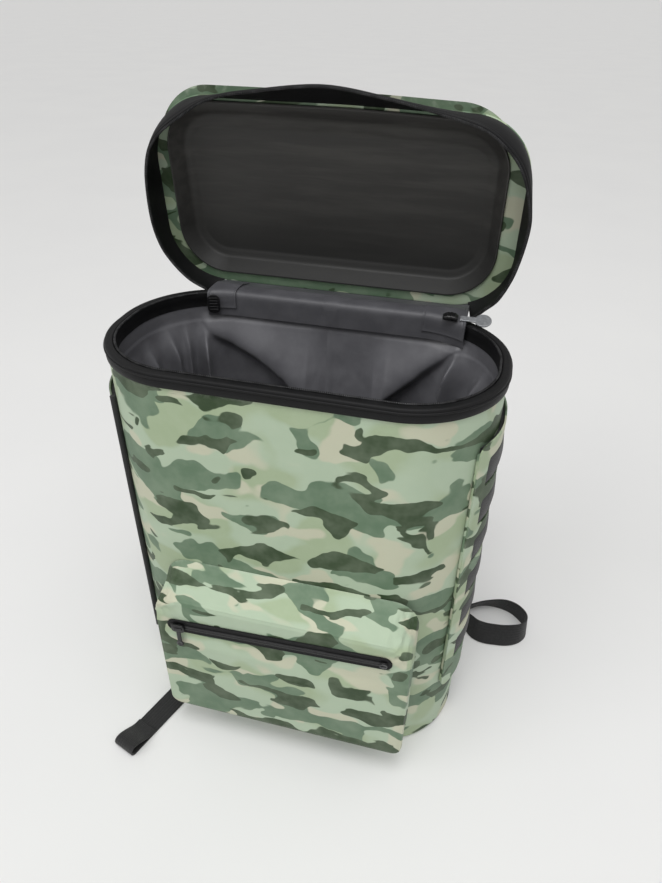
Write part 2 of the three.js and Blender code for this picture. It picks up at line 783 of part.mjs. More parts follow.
// Rounded end of the zip, flat on the inside flap at the left of the hinge
function makeZipEnd() {
  const x = hingeLeft + zipEndInset;
  const offset = flapOffset - hingeThickness - patchThickness - 3 * seatGap;
  const turn = Math.asin((-x - backStraight) / bagCornerRadius);
  const geometry = plate(zipEndWidth, zipEndLength, zipEndWidth / 2 - 1, zipEndThickness);
  geometry.rotateX(Math.PI / 2);
  geometry.rotateZ(turn);
  geometry.translate(x, backFaceY(x, offset), bagHeight - zipEndLength / 2);
  return geometry;
}

// Front pocket, open toward the bag
const pocketBackY = -(bagDepth / 2 + frontBulge + seatGap);
const pocketMiddleZ = (pocketBottom + pocketTop) / 2;

function pocketRing(inset, reach) {
  const forward = reach / pocketDepth;
  const height = pocketTop - pocketBottom;
  const radii = [pocketFootRadius, pocketTopRadius, pocketTopRadius, pocketFootRadius];
  const rows = roundedOutline(pocketWidth - 2 * inset, height - 2 * inset, radii, smallCornerSteps, 3);
  return rows.map((p) => {
    const upper = Math.max(0, p.y / (height / 2));
    const z = pocketMiddleZ + p.y - pocketTopSlope * upper * forward;
    return point(pocketShiftX + p.x, pocketBackY - reach, z);
  });
}

function makePocket() {
  const faceReach = pocketDepth - pocketEdgeRound;
  const round = [0, 30, 60].map((turn) => ({
    inset: pocketEdgeRound * (1 - Math.cos(radians(turn))),
    reach: faceReach + pocketEdgeRound * Math.sin(radians(turn)),
  }));
  const flat = { inset: pocketEdgeRound, reach: pocketDepth };
  const outside = [{ inset: 0, reach: 0 }, ...round, flat];
  const inside = outside.map(({ inset, reach }) => ({
    inset: inset + pocketWall,
    reach: Math.max(0, reach - (reach > faceReach ? pocketWall : 0)),
  }));
  return skin([
    ...outside.slice().reverse().map(({ inset, reach }) => pocketRing(inset, reach)),
    ...inside.map(({ inset, reach }) => pocketRing(inset, reach)),
  ]);
}

// Hardware on the pocket's face, in a frame with X along the zip and Z out of the face
const pocketFace = new THREE.Group();
pocketFace.position.set(pocketZipShiftX, pocketBackY - pocketDepth - seatGap, pocketBottom + pocketZipRise);
pocketFace.rotation.set(Math.PI / 2, 0, 0);
backpack.add(pocketFace);
const zipLine = new THREE.Group();
zipLine.rotation.z = radians(pocketZipTilt);
pocketFace.add(zipLine);

function layerOnZip(name, geometry, material, x, z) {
  const mesh = add(name, geometry, material, zipLine);
  mesh.position.set(x, 0, z);
}

const sliderOnZipX = pocketSliderInset - pocketZipLength / 2;
const zipSurface = pocketZipThickness + seatGap;
const teethSurface = zipSurface + pocketTeethProud + seatGap;

// Side panels
const windowTop = (index) => panelTop - windowTopDrop - index * windowPitch;
const panelEndArc = endArc - panelFrontArc;
const panelInner = backingThickness + 2 * seatGap;

// Welted edge that closes the gap between the sheet and the bag
function weltOf(side, from, to) {
  const outer = panelInner + panelThickness;
  return toSolid(endSlab(from, to, side, () =>
    [[seatGap, panelBottom], [outer, panelBottom], [outer, panelTop], [seatGap, panelTop]]));
}

function makeSidePanel(side) {
  const slab = (from, to, low, high, inner, outer) =>
    toSolid(endSlab(from, to, side, () => [[inner, low], [outer, low], [outer, high], [inner, high]]));
  const outer = panelInner + panelThickness;
  let sheet = slab(panelFrontArc, panelEndArc, panelBottom, panelTop, panelInner, outer);
  if (side > 0) sheet = sheet.add(weltOf(side, panelFrontArc, panelFrontArc + backingMargin - seatGap));
  for (let i = 0; i < windowCount; i++) {
    const high = windowTop(i);
    const from = panelFrontArc + windowMargin;
    const to = panelEndArc - windowMargin;
    sheet = sheet.subtract(slab(from, to, high - windowHeight, high, panelInner - 1, outer + 1));
  }
  return toGeometry(sheet);
}

// The right sheet is welded down round the backing; on the left the backing's edge shows
function makeSideBacking(side) {
  const margin = side > 0 ? backingMargin : -backingShow;
  const from = panelFrontArc + margin;
  const to = panelEndArc - margin;
  const low = panelBottom + backingMargin;
  const high = panelTop - backingMargin;
  const outer = seatGap + backingThickness;
  let backing = toSolid(endSlab(from, to, side, () => [[seatGap, low], [outer, low], [outer, high], [seatGap, high]]));
  const windowFrom = panelFrontArc + windowMargin + windowClearance;
  const windowTo = panelEndArc - windowMargin - windowClearance;
  for (let i = 0; i < windowCount; i++) {
    const top = windowTop(i) - windowClearance;
    const bottom = windowTop(i) - windowHeight + windowClearance;
    const swell = endSlab(windowFrom, windowTo, side, (along) => {
      const rise = 0.3 + (seatGap + panelThickness + swellProud) * Math.sin(Math.PI * along);
      const edge = outer + 0.3 + (rise - 0.3) * 0.6;
      return [[seatGap + 0.2, bottom], [edge, bottom], [outer + rise, bottom + 7], [outer + rise, top - 7],
        [edge, top], [seatGap + 0.2, top]];
    });
    backing = backing.add(toSolid(swell));
  }
  return toGeometry(backing);
}

// Back pad, straps and handle
const backY = bagDepth / 2 + seatGap;
const padFaceY = backY + backPadThickness;

function makeBackPad() {
  const middle = (backPadBottom + backPadTop) / 2;
  const ring = (inset, reach) => roundedOutline(
    backPadWidth - 2 * inset, backPadTop - backPadBottom - 2 * inset, backPadCornerRadius - inset, smallCornerSteps)
    .map((p) => point(p.x, backY + reach, middle + p.y));
  return skin([
    ring(0, 0),
    ring(0, backPadThickness - backPadEdgeRound),
    ring(backPadEdgeRound * 0.3, backPadThickness - backPadEdgeRound * 0.3),
    ring(backPadEdgeRound, backPadThickness),
  ]);
}

const acrossX = point(1, 0, 0);
const strapFaceY = padFaceY + seatGap + yokeThickness + seatGap + strapThickness / 2;

// Shares of the way down the padded strap, its bow and its width
const strapSections = [
  { down: 0, bow: 0, width: 0.8 },
  { down: 0.1, bow: 0.22, width: 0.95 },
  { down: 0.25, bow: 0.66, width: 1 },
  { down: 0.42, bow: 0.96, width: 1 },
  { down: 0.6, bow: 1, width: 1 },
  { down: 0.78, bow: 0.8, width: 0.95 },
  { down: 0.92, bow: 0.5, width: 0.8 },
  { down: 1, bow: 0.34, width: 0.55 },
];

function makeStrap(side) {
  const stops = strapSections.map(({ down, bow, width }) => ({
    place: point((side * strapSpacing) / 2 + side * 14 * down, strapFaceY + strapBow * bow, share(strapTop, strapBottom, down)),
    across: acrossX,
    width: strapWidth * width,
  }));
  return ribbon(stops, strapWidth, strapThickness);
}

const lockX = strapSpacing / 2 + 18;
const lockY = strapFaceY + strapBow * 0.3;
const lockTop = strapBottom - 3;

function placedPlate(width, height, thickness, radius, x, y, z) {
  const geometry = plate(width, height, radius, thickness);
  geometry.rotateX(Math.PI / 2);
  geometry.translate(x, y + thickness / 2, z);
  return geometry;
}

// Webbing from the lock to the anchor at the foot of the back, where it turns with the bag
const anchorX = anchorSpacing / 2;
const anchorTurn = Math.asin((anchorX - backStraight) / bagCornerRadius);

function makeLowerWeb(side) {
  const top = lockTop - lockHeight - seatGap;
  const seat = yokeThickness + 3 * seatGap + webThickness / 2;
  const foot = endPoint(endArc - anchorTurn * bagCornerRadius, seat, anchorZ, 1);
  const rows = [
    { t: 0, x: lockX, y: lockY, turn: 0 },
    { t: 0.06, x: lockX, y: lockY, turn: 0 },
    { t: 0.4, x: share(lockX, foot.x, 0.45), y: lockY - 3, turn: 0 },
    { t: 0.72, x: share(lockX, foot.x, 0.85), y: padFaceY + 4, turn: anchorTurn * 0.4 },
    { t: 0.87, x: share(lockX, foot.x, 0.98), y: share(padFaceY, foot.y, 0.5), turn: anchorTurn * 0.9 },
    { t: 0.94, x: foot.x, y: foot.y, turn: anchorTurn },
    { t: 1, x: foot.x, y: foot.y, turn: anchorTurn },
  ];
  const stops = rows.map(({ t, x, y, turn }) => ({
    place: point(side * x, y, share(top, anchorZ, t)),
    across: point(Math.cos(turn), -side * Math.sin(turn), 0),
    level: true,
  }));
  return ribbon(stops, webWidth, webThickness);
}

function makeAnchor(side) {
  const rings = [];
  const columns = 4;
  for (let i = 0; i <= columns; i++) {
    const x = anchorX + share(-20, 20, i / columns);
    rings.push([[seatGap, -1], [seatGap, 1], [seatGap + yokeThickness, 1], [seatGap + yokeThickness, -1]]
      .map(([offset, up]) => point(side * x, backFaceY(x, offset), anchorZ - 4 + (up * anchorHeight) / 3)));
  }
  return skin(rings);
}

function makeHandle() {
  const half = handleSpan / 2;
  const y = padFaceY + seatGap + yokeThickness + seatGap + webThickness / 2;
  const rows = [
    { x: -half, y },
    { x: -half + 4, y: y + handleReach * 0.5 },
    { x: -half * 0.6, y: y + handleReach * 0.92 },
    { x: 0, y: y + handleReach },
    { x: half * 0.6, y: y + handleReach * 0.92 },
    { x: half - 4, y: y + handleReach * 0.5 },
    { x: half, y },
  ];
  const stops = rows.map((row) => ({ place: point(row.x, row.y, handleZ), across: point(0, 0, 1) }));
  return ribbon(stops, webWidth, 2 * webThickness);
}

function makeTail() {
  const lie = webThickness / 2;
  const start = point(tailStart.x, tailStart.y, lie);
  const run = point(tailEnd.x - tailStart.x, tailEnd.y - tailStart.y, 0);
  const length = run.length();
  const across = point(run.y, -run.x, 0).normalize();
  const drop = tailDrop.map(({ x, y, z }) => ({ place: point(x, y, z), across: acrossX.clone().negate() }));
  const lying = [0, 1].map((t) => ({ place: start.clone().addScaledVector(run, t), across }));
  const folded = [1 - tailFold / length, 1].map((t) => {
    const place = start.clone().addScaledVector(run, t).add(point(0, 0, webThickness * 0.9));
    return { place, across };
  });
  const band = toSolid(ribbon([...drop, ...lying], webWidth, webThickness));
  return toGeometry(band.add(toSolid(ribbon(folded, webWidth, webThickness))));
}

function makeLoop() {
  const stops = loopRoute.map(({ x, y, z, tilt, hang }, i) => {
    const before = loopRoute[Math.max(i - 1, 0)];
    const after = loopRoute[Math.min(i + 1, loopRoute.length - 1)];
    const heading = point(after.x - before.x, after.y - before.y, 0).normalize();
    const lean = radians(tilt);
    const standing = point(heading.y * Math.cos(lean), -heading.x * Math.cos(lean), Math.sin(lean));
    const across = standing.lerp(acrossX, hang);
    const onGround = (webWidth / 2) * Math.sin(lean) + (webThickness / 2) * Math.cos(lean) + seatGap / 2;
    return { place: point(x, y, z ?? onGround), across };
  });
  return ribbon(stops, webWidth, webThickness);
}

// The assembly
add("body_shell", makeBody(), camouflage);
add("liner", makeLiner(), linerSatin);
add("rim_band", makeRim(), blackTape);
add("rim_zip_tape", makeTape(), blackTape);
add("rim_zip_teeth", makeTeeth(), blackTeeth);
add("hinge_panel", makeHinge(), hingeGrey);
add("hinge_patch_left", makePatch(hingeLeftBend), hingeGrey);
add("hinge_patch_right", makePatch(hingeRightBend), hingeGrey);
add("lid_shell", makeLidShell(), camouflage, lid);
add("lid_tray", makeTray(), trayCharcoal, lid);
add("lid_band", makeBand(), blackTape, lid);
add("lid_zip_teeth", makeLidTeeth(), blackTeeth, lid);
add("lid_slider", makeLidSlider(), blackPlastic, lidHardware);
const lidPull = add("lid_pull", makePull(lidPullLength, lidPullHead, lidPullNeck, lidPullThickness), pullMetal, lidHardware);
lidPull.position.set(lidSliderLength / 2 + seatGap + lidPullThickness / 2, 0, lidPullRise + lidPullThickness / 2);
add("zip_end_left", makeZipEnd(), blackTeeth);

add("front_pocket", makePocket(), camouflage);
layerOnZip("pocket_zip", plate(pocketZipLength, pocketZipHeight, pocketZipHeight / 2, pocketZipThickness), blackTape, 0, 0);
layerOnZip("pocket_zip_teeth", plate(pocketZipLength - 8, pocketTeethHeight, 1, pocketTeethProud), blackTeeth, 0, zipSurface);
layerOnZip("pocket_slider", plate(pocketSliderLength, pocketSliderHeight, 2.5, pocketSliderProud), blackPlastic,
  sliderOnZipX, teethSurface);
layerOnZip("pocket_zip_stop", plate(pocketStopLength, pocketStopHeight, 3, pocketStopProud), blackPlastic,
  pocketZipLength / 2 - pocketStopLength / 2 - 4, teethSurface);

const pullTop = pocketSliderHeight / 2 + seatGap + pocketPullThickness / 2;
const pocketPull = makePull(pocketPullLength, pocketPullWidth, pocketPullNeck, pocketPullThickness);
pocketPull.rotateZ(-Math.PI / 2);
const pullMesh = add("pocket_pull", pocketPull, blackPlastic, pocketFace);
pullMesh.position.set(
  sliderOnZipX * Math.cos(radians(pocketZipTilt)), sliderOnZipX * Math.sin(radians(pocketZipTilt)) - pullTop,
  teethSurface + seatGap + pocketPullThickness / 2);

for (const [name, side] of [["right", 1], ["left", -1]]) {
  add(`side_backing_${name}`, makeSideBacking(side), blackWeb);
  add(`side_panel_${name}`, makeSidePanel(side), camouflage);
  add(`shoulder_strap_${name}`, makeStrap(side), padBlack);
  add(`strap_lock_${name}`, placedPlate(lockWidth, lockHeight, lockThickness, 4,
    side * lockX, lockY, lockTop - lockHeight / 2), blackPlastic);
  add(`lower_web_${name}`, makeLowerWeb(side), blackWeb);
  add(`strap_anchor_${name}`, makeAnchor(side), blackWeb);
}
add("back_pad", makeBackPad(), padBlack);
add("strap_yoke", placedPlate(strapSpacing + strapWidth, yokeHeight, yokeThickness, 6,
  0, padFaceY + seatGap + yokeThickness / 2, strapTop), blackWeb);
add("handle_patch", placedPlate(handleSpan + 30, webWidth + 8, yokeThickness, 6,
  0, padFaceY + seatGap + yokeThickness / 2, handleZ), blackWeb);
add("grab_handle", makeHandle(), blackWeb);
add("strap_tail_left", makeTail(), blackWeb);
add("strap_loop_right", makeLoop(), blackWeb);

export default backpack;
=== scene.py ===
import math

import bmesh
import bpy
from mathutils import Matrix, Vector, noise


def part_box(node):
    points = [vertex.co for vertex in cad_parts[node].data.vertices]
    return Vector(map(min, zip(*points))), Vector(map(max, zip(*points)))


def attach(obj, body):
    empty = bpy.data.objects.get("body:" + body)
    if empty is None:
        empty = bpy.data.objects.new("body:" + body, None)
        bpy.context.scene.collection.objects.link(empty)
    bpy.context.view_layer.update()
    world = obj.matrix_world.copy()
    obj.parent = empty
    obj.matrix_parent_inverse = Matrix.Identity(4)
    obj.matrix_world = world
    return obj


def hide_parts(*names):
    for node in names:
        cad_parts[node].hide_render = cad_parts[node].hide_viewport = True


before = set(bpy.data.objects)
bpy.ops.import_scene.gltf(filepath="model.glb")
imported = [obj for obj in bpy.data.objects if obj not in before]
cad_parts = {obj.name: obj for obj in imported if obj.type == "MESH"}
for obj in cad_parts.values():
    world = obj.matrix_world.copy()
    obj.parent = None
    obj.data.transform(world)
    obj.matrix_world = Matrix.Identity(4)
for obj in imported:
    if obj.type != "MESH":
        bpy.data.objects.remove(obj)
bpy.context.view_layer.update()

# Lengths in the piece dictionaries are millimetres; meshes are made in metres
mm = 0.001
shades = {}

bagLow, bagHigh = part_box("rim_band")
rimProud = 1.7
bag = {
    "width": round((bagHigh.x - bagLow.x) / mm - 2 * rimProud, 2),
    "depth": round((bagHigh.y - bagLow.y) / mm - 2 * rimProud, 2),
    "height": round(bagHigh.z / mm, 2),
    "corner": 81,
    "wall": 6,
    "baseEdge": 6,
    "frontBulge": 2.5,
}
seat = 0.3  # clearance between pieces that touch


# Small maths
def share(a, b, t):
    return a + (b - a) * t


def smooth(t, a=0.0, b=1.0):
    t = min(max((t - a) / (b - a), 0.0), 1.0)
    return t * t * (3 - 2 * t)


def wander(x, y, z=0.0, seed=0.0):
    return noise.noise(Vector((x + seed, y - 2 * seed, z + 3 * seed)))


def steps(count):
    return [i / count for i in range(count + 1)]


def blendRow(a, b, t):
    return tuple(share(p, q, t) for p, q in zip(a, b))


# Smooth curve through rows of numbers, each stretch cut into so many steps
def throughRows(rows, cuts, closed=False):
    count = len(rows)
    spans = count if closed else count - 1
    found = []
    for i in range(spans):
        if closed:
            a, b, c, d = (rows[(i + k) % count] for k in (-1, 0, 1, 2))
        else:
            a, b, c, d = (rows[min(max(i + k, 0), count - 1)] for k in (-1, 0, 1, 2))
        for j in range(cuts):
            t = j / cuts
            found.append(tuple(
                0.5 * (2 * q + (r - p) * t + (2 * p - 5 * q + 4 * r - s) * t * t
                       + (3 * q - p - 3 * r + s) * t ** 3)
                for p, q, r, s in zip(a, b, c, d)))
    if not closed:
        found.append(tuple(float(v) for v in rows[-1]))
    return found


# Profile with its inner corners rounded off
def softened(profile, radius, cuts=4):
    found = [tuple(profile[0])]
    for a, b, c in zip(profile, profile[1:], profile[2:]):
        back, on = math.dist(a, b), math.dist(b, c)
        reach = min(radius, back * 0.48, on * 0.48)
        start = blendRow(b, a, reach / back)
        end = blendRow(b, c, reach / on)
        for t in steps(cuts):
            found.append(blendRow(blendRow(start, b, t), blendRow(b, end, t), t))
    found.append(tuple(profile[-1]))
    return found


# Rectangle with round corners, counter-clockwise from the middle of its lower side.
# Each row is x, y, outward x, outward y and the run along the outline
def roundedPath(width, height, radii, count):
    corners = []
    for (right, up, turn), radius in zip(((1, -1, -90), (1, 1, 0), (-1, 1, 90), (-1, -1, 180)), radii):
        r = min(radius, width / 2, height / 2)
        corners.append((right * (width / 2 - r), up * (height / 2 - r), r, math.radians(turn)))
    parts = []
    at = (0.0, -height / 2)
    for cx, cy, r, turn in corners:
        begin = (cx + r * math.cos(turn), cy + r * math.sin(turn))
        parts.append(("line", math.dist(at, begin), at, begin, turn))
        parts.append(("bend", r * math.pi / 2, (cx, cy), r, turn))
        at = (cx + r * math.cos(turn + math.pi / 2), cy + r * math.sin(turn + math.pi / 2))
    parts.append(("line", math.dist(at, (0.0, -height / 2)), at, (0.0, -height / 2), math.radians(-90)))
    total = sum(part[1] for part in parts)
    rows = []
    for i in range(count):
        run = total * i / count
        left = run
        for part in parts:
            if left <= part[1] + 1e-9:
                break
            left -= part[1]
        if part[0] == "line":
            x, y = blendRow(part[2], part[3], left / part[1] if part[1] else 0)
            angle = part[4]
        else:
            angle = part[4] + left / part[3]
            x = part[2][0] + part[3] * math.cos(angle)
            y = part[2][1] + part[3] * math.sin(angle)
        rows.append((x, y, math.cos(angle), math.sin(angle), run))
    return rows, total


# The same outline drawn in by an inset, with its corners kept round
def drawnIn(width, height, radii, inset, count):
    return roundedPath(width - 2 * inset, height - 2 * inset, [max(r - inset, 0.4) for r in radii],
                       count)[0]


# The ring of an outline, moved outward and set at a height
def ringAt(rows, offset, z):
    return [(x + nx * offset, y + ny * offset, z) for x, y, nx, ny, run in rows]


# Mesh parts: a part is points, faces and the cloth place of every face corner
def loft(rings, closed=True, around=False, caps=True, runs=None, levels=None):
    count = len(rings[0])
    if runs is None:
        runs = [0.0]
        for j in range(count):
            runs.append(runs[-1] + math.dist(rings[0][j], rings[0][(j + 1) % count]))
    if levels is None:
        levels = [0.0]
        for i in range(len(rings)):
            levels.append(levels[-1] + math.dist(rings[i][0], rings[(i + 1) % len(rings)][0]))
    points = [p for ring in rings for p in ring]
    faces = []
    cloth = []
    for i in range(len(rings) if around else len(rings) - 1):
        a = i * count
        b = ((i + 1) % len(rings)) * count
        for j in range(count if closed else count - 1):
            k = (j + 1) % count
            faces.append((a + j, a + k, b + k, b + j))
            cloth.append(((runs[j], levels[i]), (runs[j + 1], levels[i]),
                          (runs[j + 1], levels[i + 1]), (runs[j], levels[i + 1])))
    if caps and closed and not around:
        for row in (0, len(rings) - 1):
            start = row * count
            faces.append(tuple(start + j for j in range(count)))
            cloth.append(tuple((runs[j], levels[row]) for j in range(count)))
    return points, faces, cloth


def joined(parts):
    points, faces, cloth = [], [], []
    for p, f, c in parts:
        base = len(points)
        points.extend(p)
        faces.extend(tuple(i + base for i in face) for face in f)
        cloth.extend(c)
    return points, faces, cloth


# Two-sided sheet from a grid of points with its outward directions; cells may be left out
def sheetPart(grid, outward, thickness, keep=None, cloth=None):
    rows, columns = len(grid), len(grid[0])
    top = [p for row in grid for p in row]
    low = [tuple(c - n * thickness for c, n in zip(p, d))
           for row, dirs in zip(grid, outward) for p, d in zip(row, dirs)]
    size = len(top)
    faces, places, edges = [], [], {}
    for i in range(rows - 1):
        for j in range(columns - 1):
            if keep and not keep(i, j):
                continue
            cell = (i * columns + j, i * columns + j + 1, (i + 1) * columns + j + 1, (i + 1) * columns + j)
            spots = tuple(cloth[k] for k in cell) if cloth else tuple((top[k][0], top[k][2]) for k in cell)
            faces.append(cell)
            places.append(spots)
            faces.append(tuple(k + size for k in reversed(cell)))
            places.append(tuple(reversed(spots)))
            for k in range(4):
                edge = (cell[k], cell[(k + 1) % 4])
                other = (edge[1], edge[0])
                if other in edges:
                    del edges[other]
                else:
                    edges[edge] = (spots[k], spots[(k + 1) % 4])
    for (a, b), (p, q) in edges.items():
        faces.append((b, a, a + size, b + size))
        places.append((q, p, p, q))
    used = sorted({k for face in faces for k in face})
    renamed = {k: i for i, k in enumerate(used)}
    both = top + low
    return [both[k] for k in used], [tuple(renamed[k] for k in face) for face in faces], places


def makePiece(name, part, material, body="bag", replaces=(), sharp=38):
    points, faces, cloth = part
    mesh = bpy.data.meshes.new(name)
    mesh.from_pydata([(x * mm, y * mm, z * mm) for x, y, z in points], [], faces)
    layer = mesh.uv_layers.new(name="cloth")
    layer.data.foreach_set("uv", [v * mm for corner in cloth for place in corner for v in place])
    work = bmesh.new()
    work.from_mesh(mesh)
    bmesh.ops.recalc_face_normals(work, faces=work.faces)
    work.to_mesh(mesh)
    work.free()
    mesh.shade_smooth()
    mesh.set_sharp_from_angle(angle=math.radians(sharp))
    mesh.materials.append(material)
    piece = bpy.data.objects.new(name, mesh)
    bpy.context.scene.collection.objects.link(piece)
    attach(piece, body)
    if replaces:
        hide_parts(*replaces)
    return piece


# Shader tools
def tint(red, green, blue):
    def linear(c):
        c = c / 255
        return c / 12.92 if c <= 0.04045 else ((c + 0.055) / 1.055) ** 2.4
    return (linear(red), linear(green), linear(blue), 1.0)


def addNode(tree, kind, inputs=None, **settings):
    node = tree.nodes.new(kind)
    for name, value in settings.items():
        setattr(node, name, value)
    for name, value in (inputs or {}).items():
        node.inputs[name].default_value = value
    return node


def newGroup(name, inputs, outputs):
    group = bpy.data.node_groups.new(name, "ShaderNodeTree")
    for label, kind, value in inputs:
        socket = group.interface.new_socket(name=label, in_out="INPUT", socket_type=kind)
        if value is not None:
            socket.default_value = value
    for label, kind in outputs:
        group.interface.new_socket(name=label, in_out="OUTPUT", socket_type=kind)
    return group, group.nodes.new("NodeGroupInput"), group.nodes.new("NodeGroupOutput")


def maths(tree, operation, a, b=None, clamp=False):
    node = tree.nodes.new("ShaderNodeMath")
    node.operation = operation
    node.use_clamp = clamp
    for socket, value in ((node.inputs[0], a), (node.inputs[1], b)):
        if value is None:
            continue
        if isinstance(value, (int, float)):
            socket.default_value = value
        else:
            tree.links.new(value, socket)
    return node.outputs[0]


def edged(tree, value, low, high, outLow=0.0, outHigh=1.0):
    node = addNode(tree, "ShaderNodeMapRange",
                   {"From Min": low, "From Max": high, "To Min": outLow, "To Max": outHigh},
                   interpolation_type="SMOOTHSTEP")
    tree.links.new(value, node.inputs["Value"])
    return node.outputs["Result"]


def mixed(tree, mask, a, b):
    node = addNode(tree, "ShaderNodeMix", data_type="RGBA")
    for socket, value in ((node.inputs[0], mask), (node.inputs[6], a), (node.inputs[7], b)):
        if isinstance(value, (int, float, tuple)):
            socket.default_value = value
        else:
            tree.links.new(value, socket)
    return node.outputs[2]


def scaled(tree, place, size, shift=(0, 0, 0)):
    node = addNode(tree, "ShaderNodeMapping", {"Scale": size, "Location": shift})
    tree.links.new(place, node.inputs["Vector"])
    return node.outputs["Vector"]


def cloudy(tree, place, scale, detail=2.0, roughness=0.5, distortion=0.0):
    node = addNode(tree, "ShaderNodeTexNoise",
                   {"Scale": scale, "Detail": detail, "Roughness": roughness, "Distortion": distortion})
    tree.links.new(place, node.inputs["Vector"])
    return node


# Printed woodland cloth in four tones with an under-tone; blobs lie along the cloth's width
camoLook = {
    "sage": tint(170, 187, 163),
    "khaki": tint(158, 174, 142),
    "cream": tint(190, 191, 168),
    "teal": tint(94, 118, 94),
    "olive": tint(48, 67, 40),
    "faded": tint(196, 208, 186),
    # the rubbed tone is worn edges together with a painted highlight
    "rubbedAndHighlit": tint(205, 214, 196),
}
# Each rubbed tone is worn edges together with a painted highlight
darkLook = {"rubbedAndHighlit": tint(96, 97, 98)}
webLook = {"fluff": tint(52, 52, 54), "rubbedAndHighlit": tint(86, 86, 88)}
hardLook = {"rubbedAndHighlit": tint(150, 151, 153)}
# In trayLook the low tone is painted shade on the lid's dish, full below the lower height and gone above the upper one
trayLook = {"dark": tint(58, 57, 55), "light": tint(74, 73, 70), "low": tint(36, 36, 35), "paintedShadeLowZ": 0.425,
            "paintedShadeHighZ": 0.55}


def buildCamoGroup():
    group, entry, out = newGroup(
        "camoPrint",
        [("Place", "NodeSocketVector", None), ("Shift", "NodeSocketVector", (0, 0, 0))],
        [("Color", "NodeSocketColor")])
    moved = addNode(group, "ShaderNodeVectorMath", operation="ADD")
    group.links.new(entry.outputs["Place"], moved.inputs[0])
    group.links.new(entry.outputs["Shift"], moved.inputs[1])
    place = moved.outputs[0]
    bent = place
    for scale, push in ((32, (0.026, 0.016, 0.0)), (95, (0.0035, 0.003, 0.0))):
        warp = addNode(group, "ShaderNodeVectorMath", {1: (0.5, 0.5, 0.5)}, operation="SUBTRACT")
        group.links.new(cloudy(group, place, scale, 1.0).outputs["Color"], warp.inputs[0])
        grown = addNode(group, "ShaderNodeVectorMath", {1: push}, operation="MULTIPLY")
        group.links.new(warp.outputs[0], grown.inputs[0])
        added = addNode(group, "ShaderNodeVectorMath", operation="ADD")
        group.links.new(bent, added.inputs[0])
        group.links.new(grown.outputs[0], added.inputs[1])
        bent = added.outputs[0]

    def blobs(size, shift, scale, detail, low, high, distortion=0.0, roughness=0.45):
        spot = scaled(group, bent, size, shift)
        field = cloudy(group, spot, scale, detail, roughness, distortion).outputs["Fac"]
        return edged(group, field, low, high)

    color = mixed(group, blobs((1, 1.3, 1), (2.7, 0.4, 0), 15, 1.0, 0.48, 0.58), camoLook["sage"],
                  camoLook["khaki"])
    color = mixed(group, blobs((1, 1.4, 1), (5.1, 1.9, 0), 21, 1.2, 0.545, 0.6), color, camoLook["cream"])
    teal = blobs((1, 1.55, 1), (9.3, 4.2, 0), 18, 1.7, 0.532, 0.546, 0.36)
    color = mixed(group, teal, color, camoLook["teal"])
    olive = blobs((1, 1.95, 1), (0.2, 7.7, 0), 19, 1.8, 0.562, 0.573, 0.45)
    color = mixed(group, olive, color, camoLook["olive"])
    group.links.new(color, out.inputs["Color"])
    return group


# Fine grain of a coated or woven cloth, from crossed waves at a pitch in metres
def buildGrainGroup():
    group, entry, out = newGroup(
        "clothGrain",
        [("Place", "NodeSocketVector", None), ("Pitch", "NodeSocketFloat", 0.0009)],
        [("Height", "NodeSocketFloat"), ("Tone", "NodeSocketFloat")])
    split = addNode(group, "ShaderNodeSeparateXYZ")
    group.links.new(entry.outputs["Place"], split.inputs[0])
    turn = maths(group, "DIVIDE", 2 * math.pi, entry.outputs["Pitch"])
    waves = [maths(group, "SINE", maths(group, "MULTIPLY", split.outputs[k], turn)) for k in (0, 1)]
    cross = maths(group, "MULTIPLY", waves[0], waves[1])
    cloud = cloudy(group, entry.outputs["Place"], 900, 2.0).outputs["Fac"]
    height = maths(group, "ADD", maths(group, "MULTIPLY", cross, 0.35),
                   maths(group, "MULTIPLY", cloud, 0.65))
    group.links.new(height, out.inputs["Height"])
    mottling = cloudy(group, entry.outputs["Place"], 34, 3.0, 0.6).outputs["Fac"]
    group.links.new(mottling, out.inputs["Tone"])
    return group


# Ribbed narrow weave of webbing: ribs across it, in slanting columns
def buildRibGroup():
    group, entry, out = newGroup(
        "ribWeave",
        [("Place", "NodeSocketVector", None), ("Pitch", "NodeSocketFloat", 0.0016),
         ("Column", "NodeSocketFloat", 0.0032)],
        [("Height", "NodeSocketFloat"), ("Tone", "NodeSocketFloat")])
    split = addNode(group, "ShaderNodeSeparateXYZ")
    group.links.new(entry.outputs["Place"], split.inputs[0])
    across = maths(group, "DIVIDE", split.outputs[0], entry.outputs["Column"])
    zigzag = maths(group, "PINGPONG", across, 0.5)
    along = maths(group, "ADD", maths(group, "DIVIDE", split.outputs[1], entry.outputs["Pitch"]), zigzag)
    rib = maths(group, "ABSOLUTE", maths(group, "SINE", maths(group, "MULTIPLY", along, math.pi)))
    gap = edged(group, zigzag, 0.0, 0.16)
    group.links.new(maths(group, "MULTIPLY", rib, gap), out.inputs["Height"])
    cloud = cloudy(group, entry.outputs["Place"], 260, 3.0, 0.6).outputs["Fac"]
    group.links.new(cloud, out.inputs["Tone"])
    return group


# Rubbed wear on outer edges together with a painted highlight, brightest where the surface turns sharply
def buildWearHighlightGroup():
    group, entry, out = newGroup(
        "edgeRubAndHighlight", [("Place", "NodeSocketVector", None), ("Amount", "NodeSocketFloat", 0.5)],
        [("Mask", "NodeSocketFloat")])
    geometry = addNode(group, "ShaderNodeNewGeometry")
    turn = edged(group, geometry.outputs["Pointiness"], 0.53, 0.66)
    patchy = edged(group, cloudy(group, entry.outputs["Place"], 130, 3.0, 0.65).outputs["Fac"], 0.4, 0.62)
    mask = maths(group, "MULTIPLY", maths(group, "MULTIPLY", turn, patchy), entry.outputs["Amount"],
                 clamp=True)
    group.links.new(mask, out.inputs["Mask"])
    return group


camoGroup = buildCamoGroup()
grainGroup = buildGrainGroup()
ribGroup = buildRibGroup()
wearHighlightGroup = buildWearHighlightGroup()
print("shader groups ready")


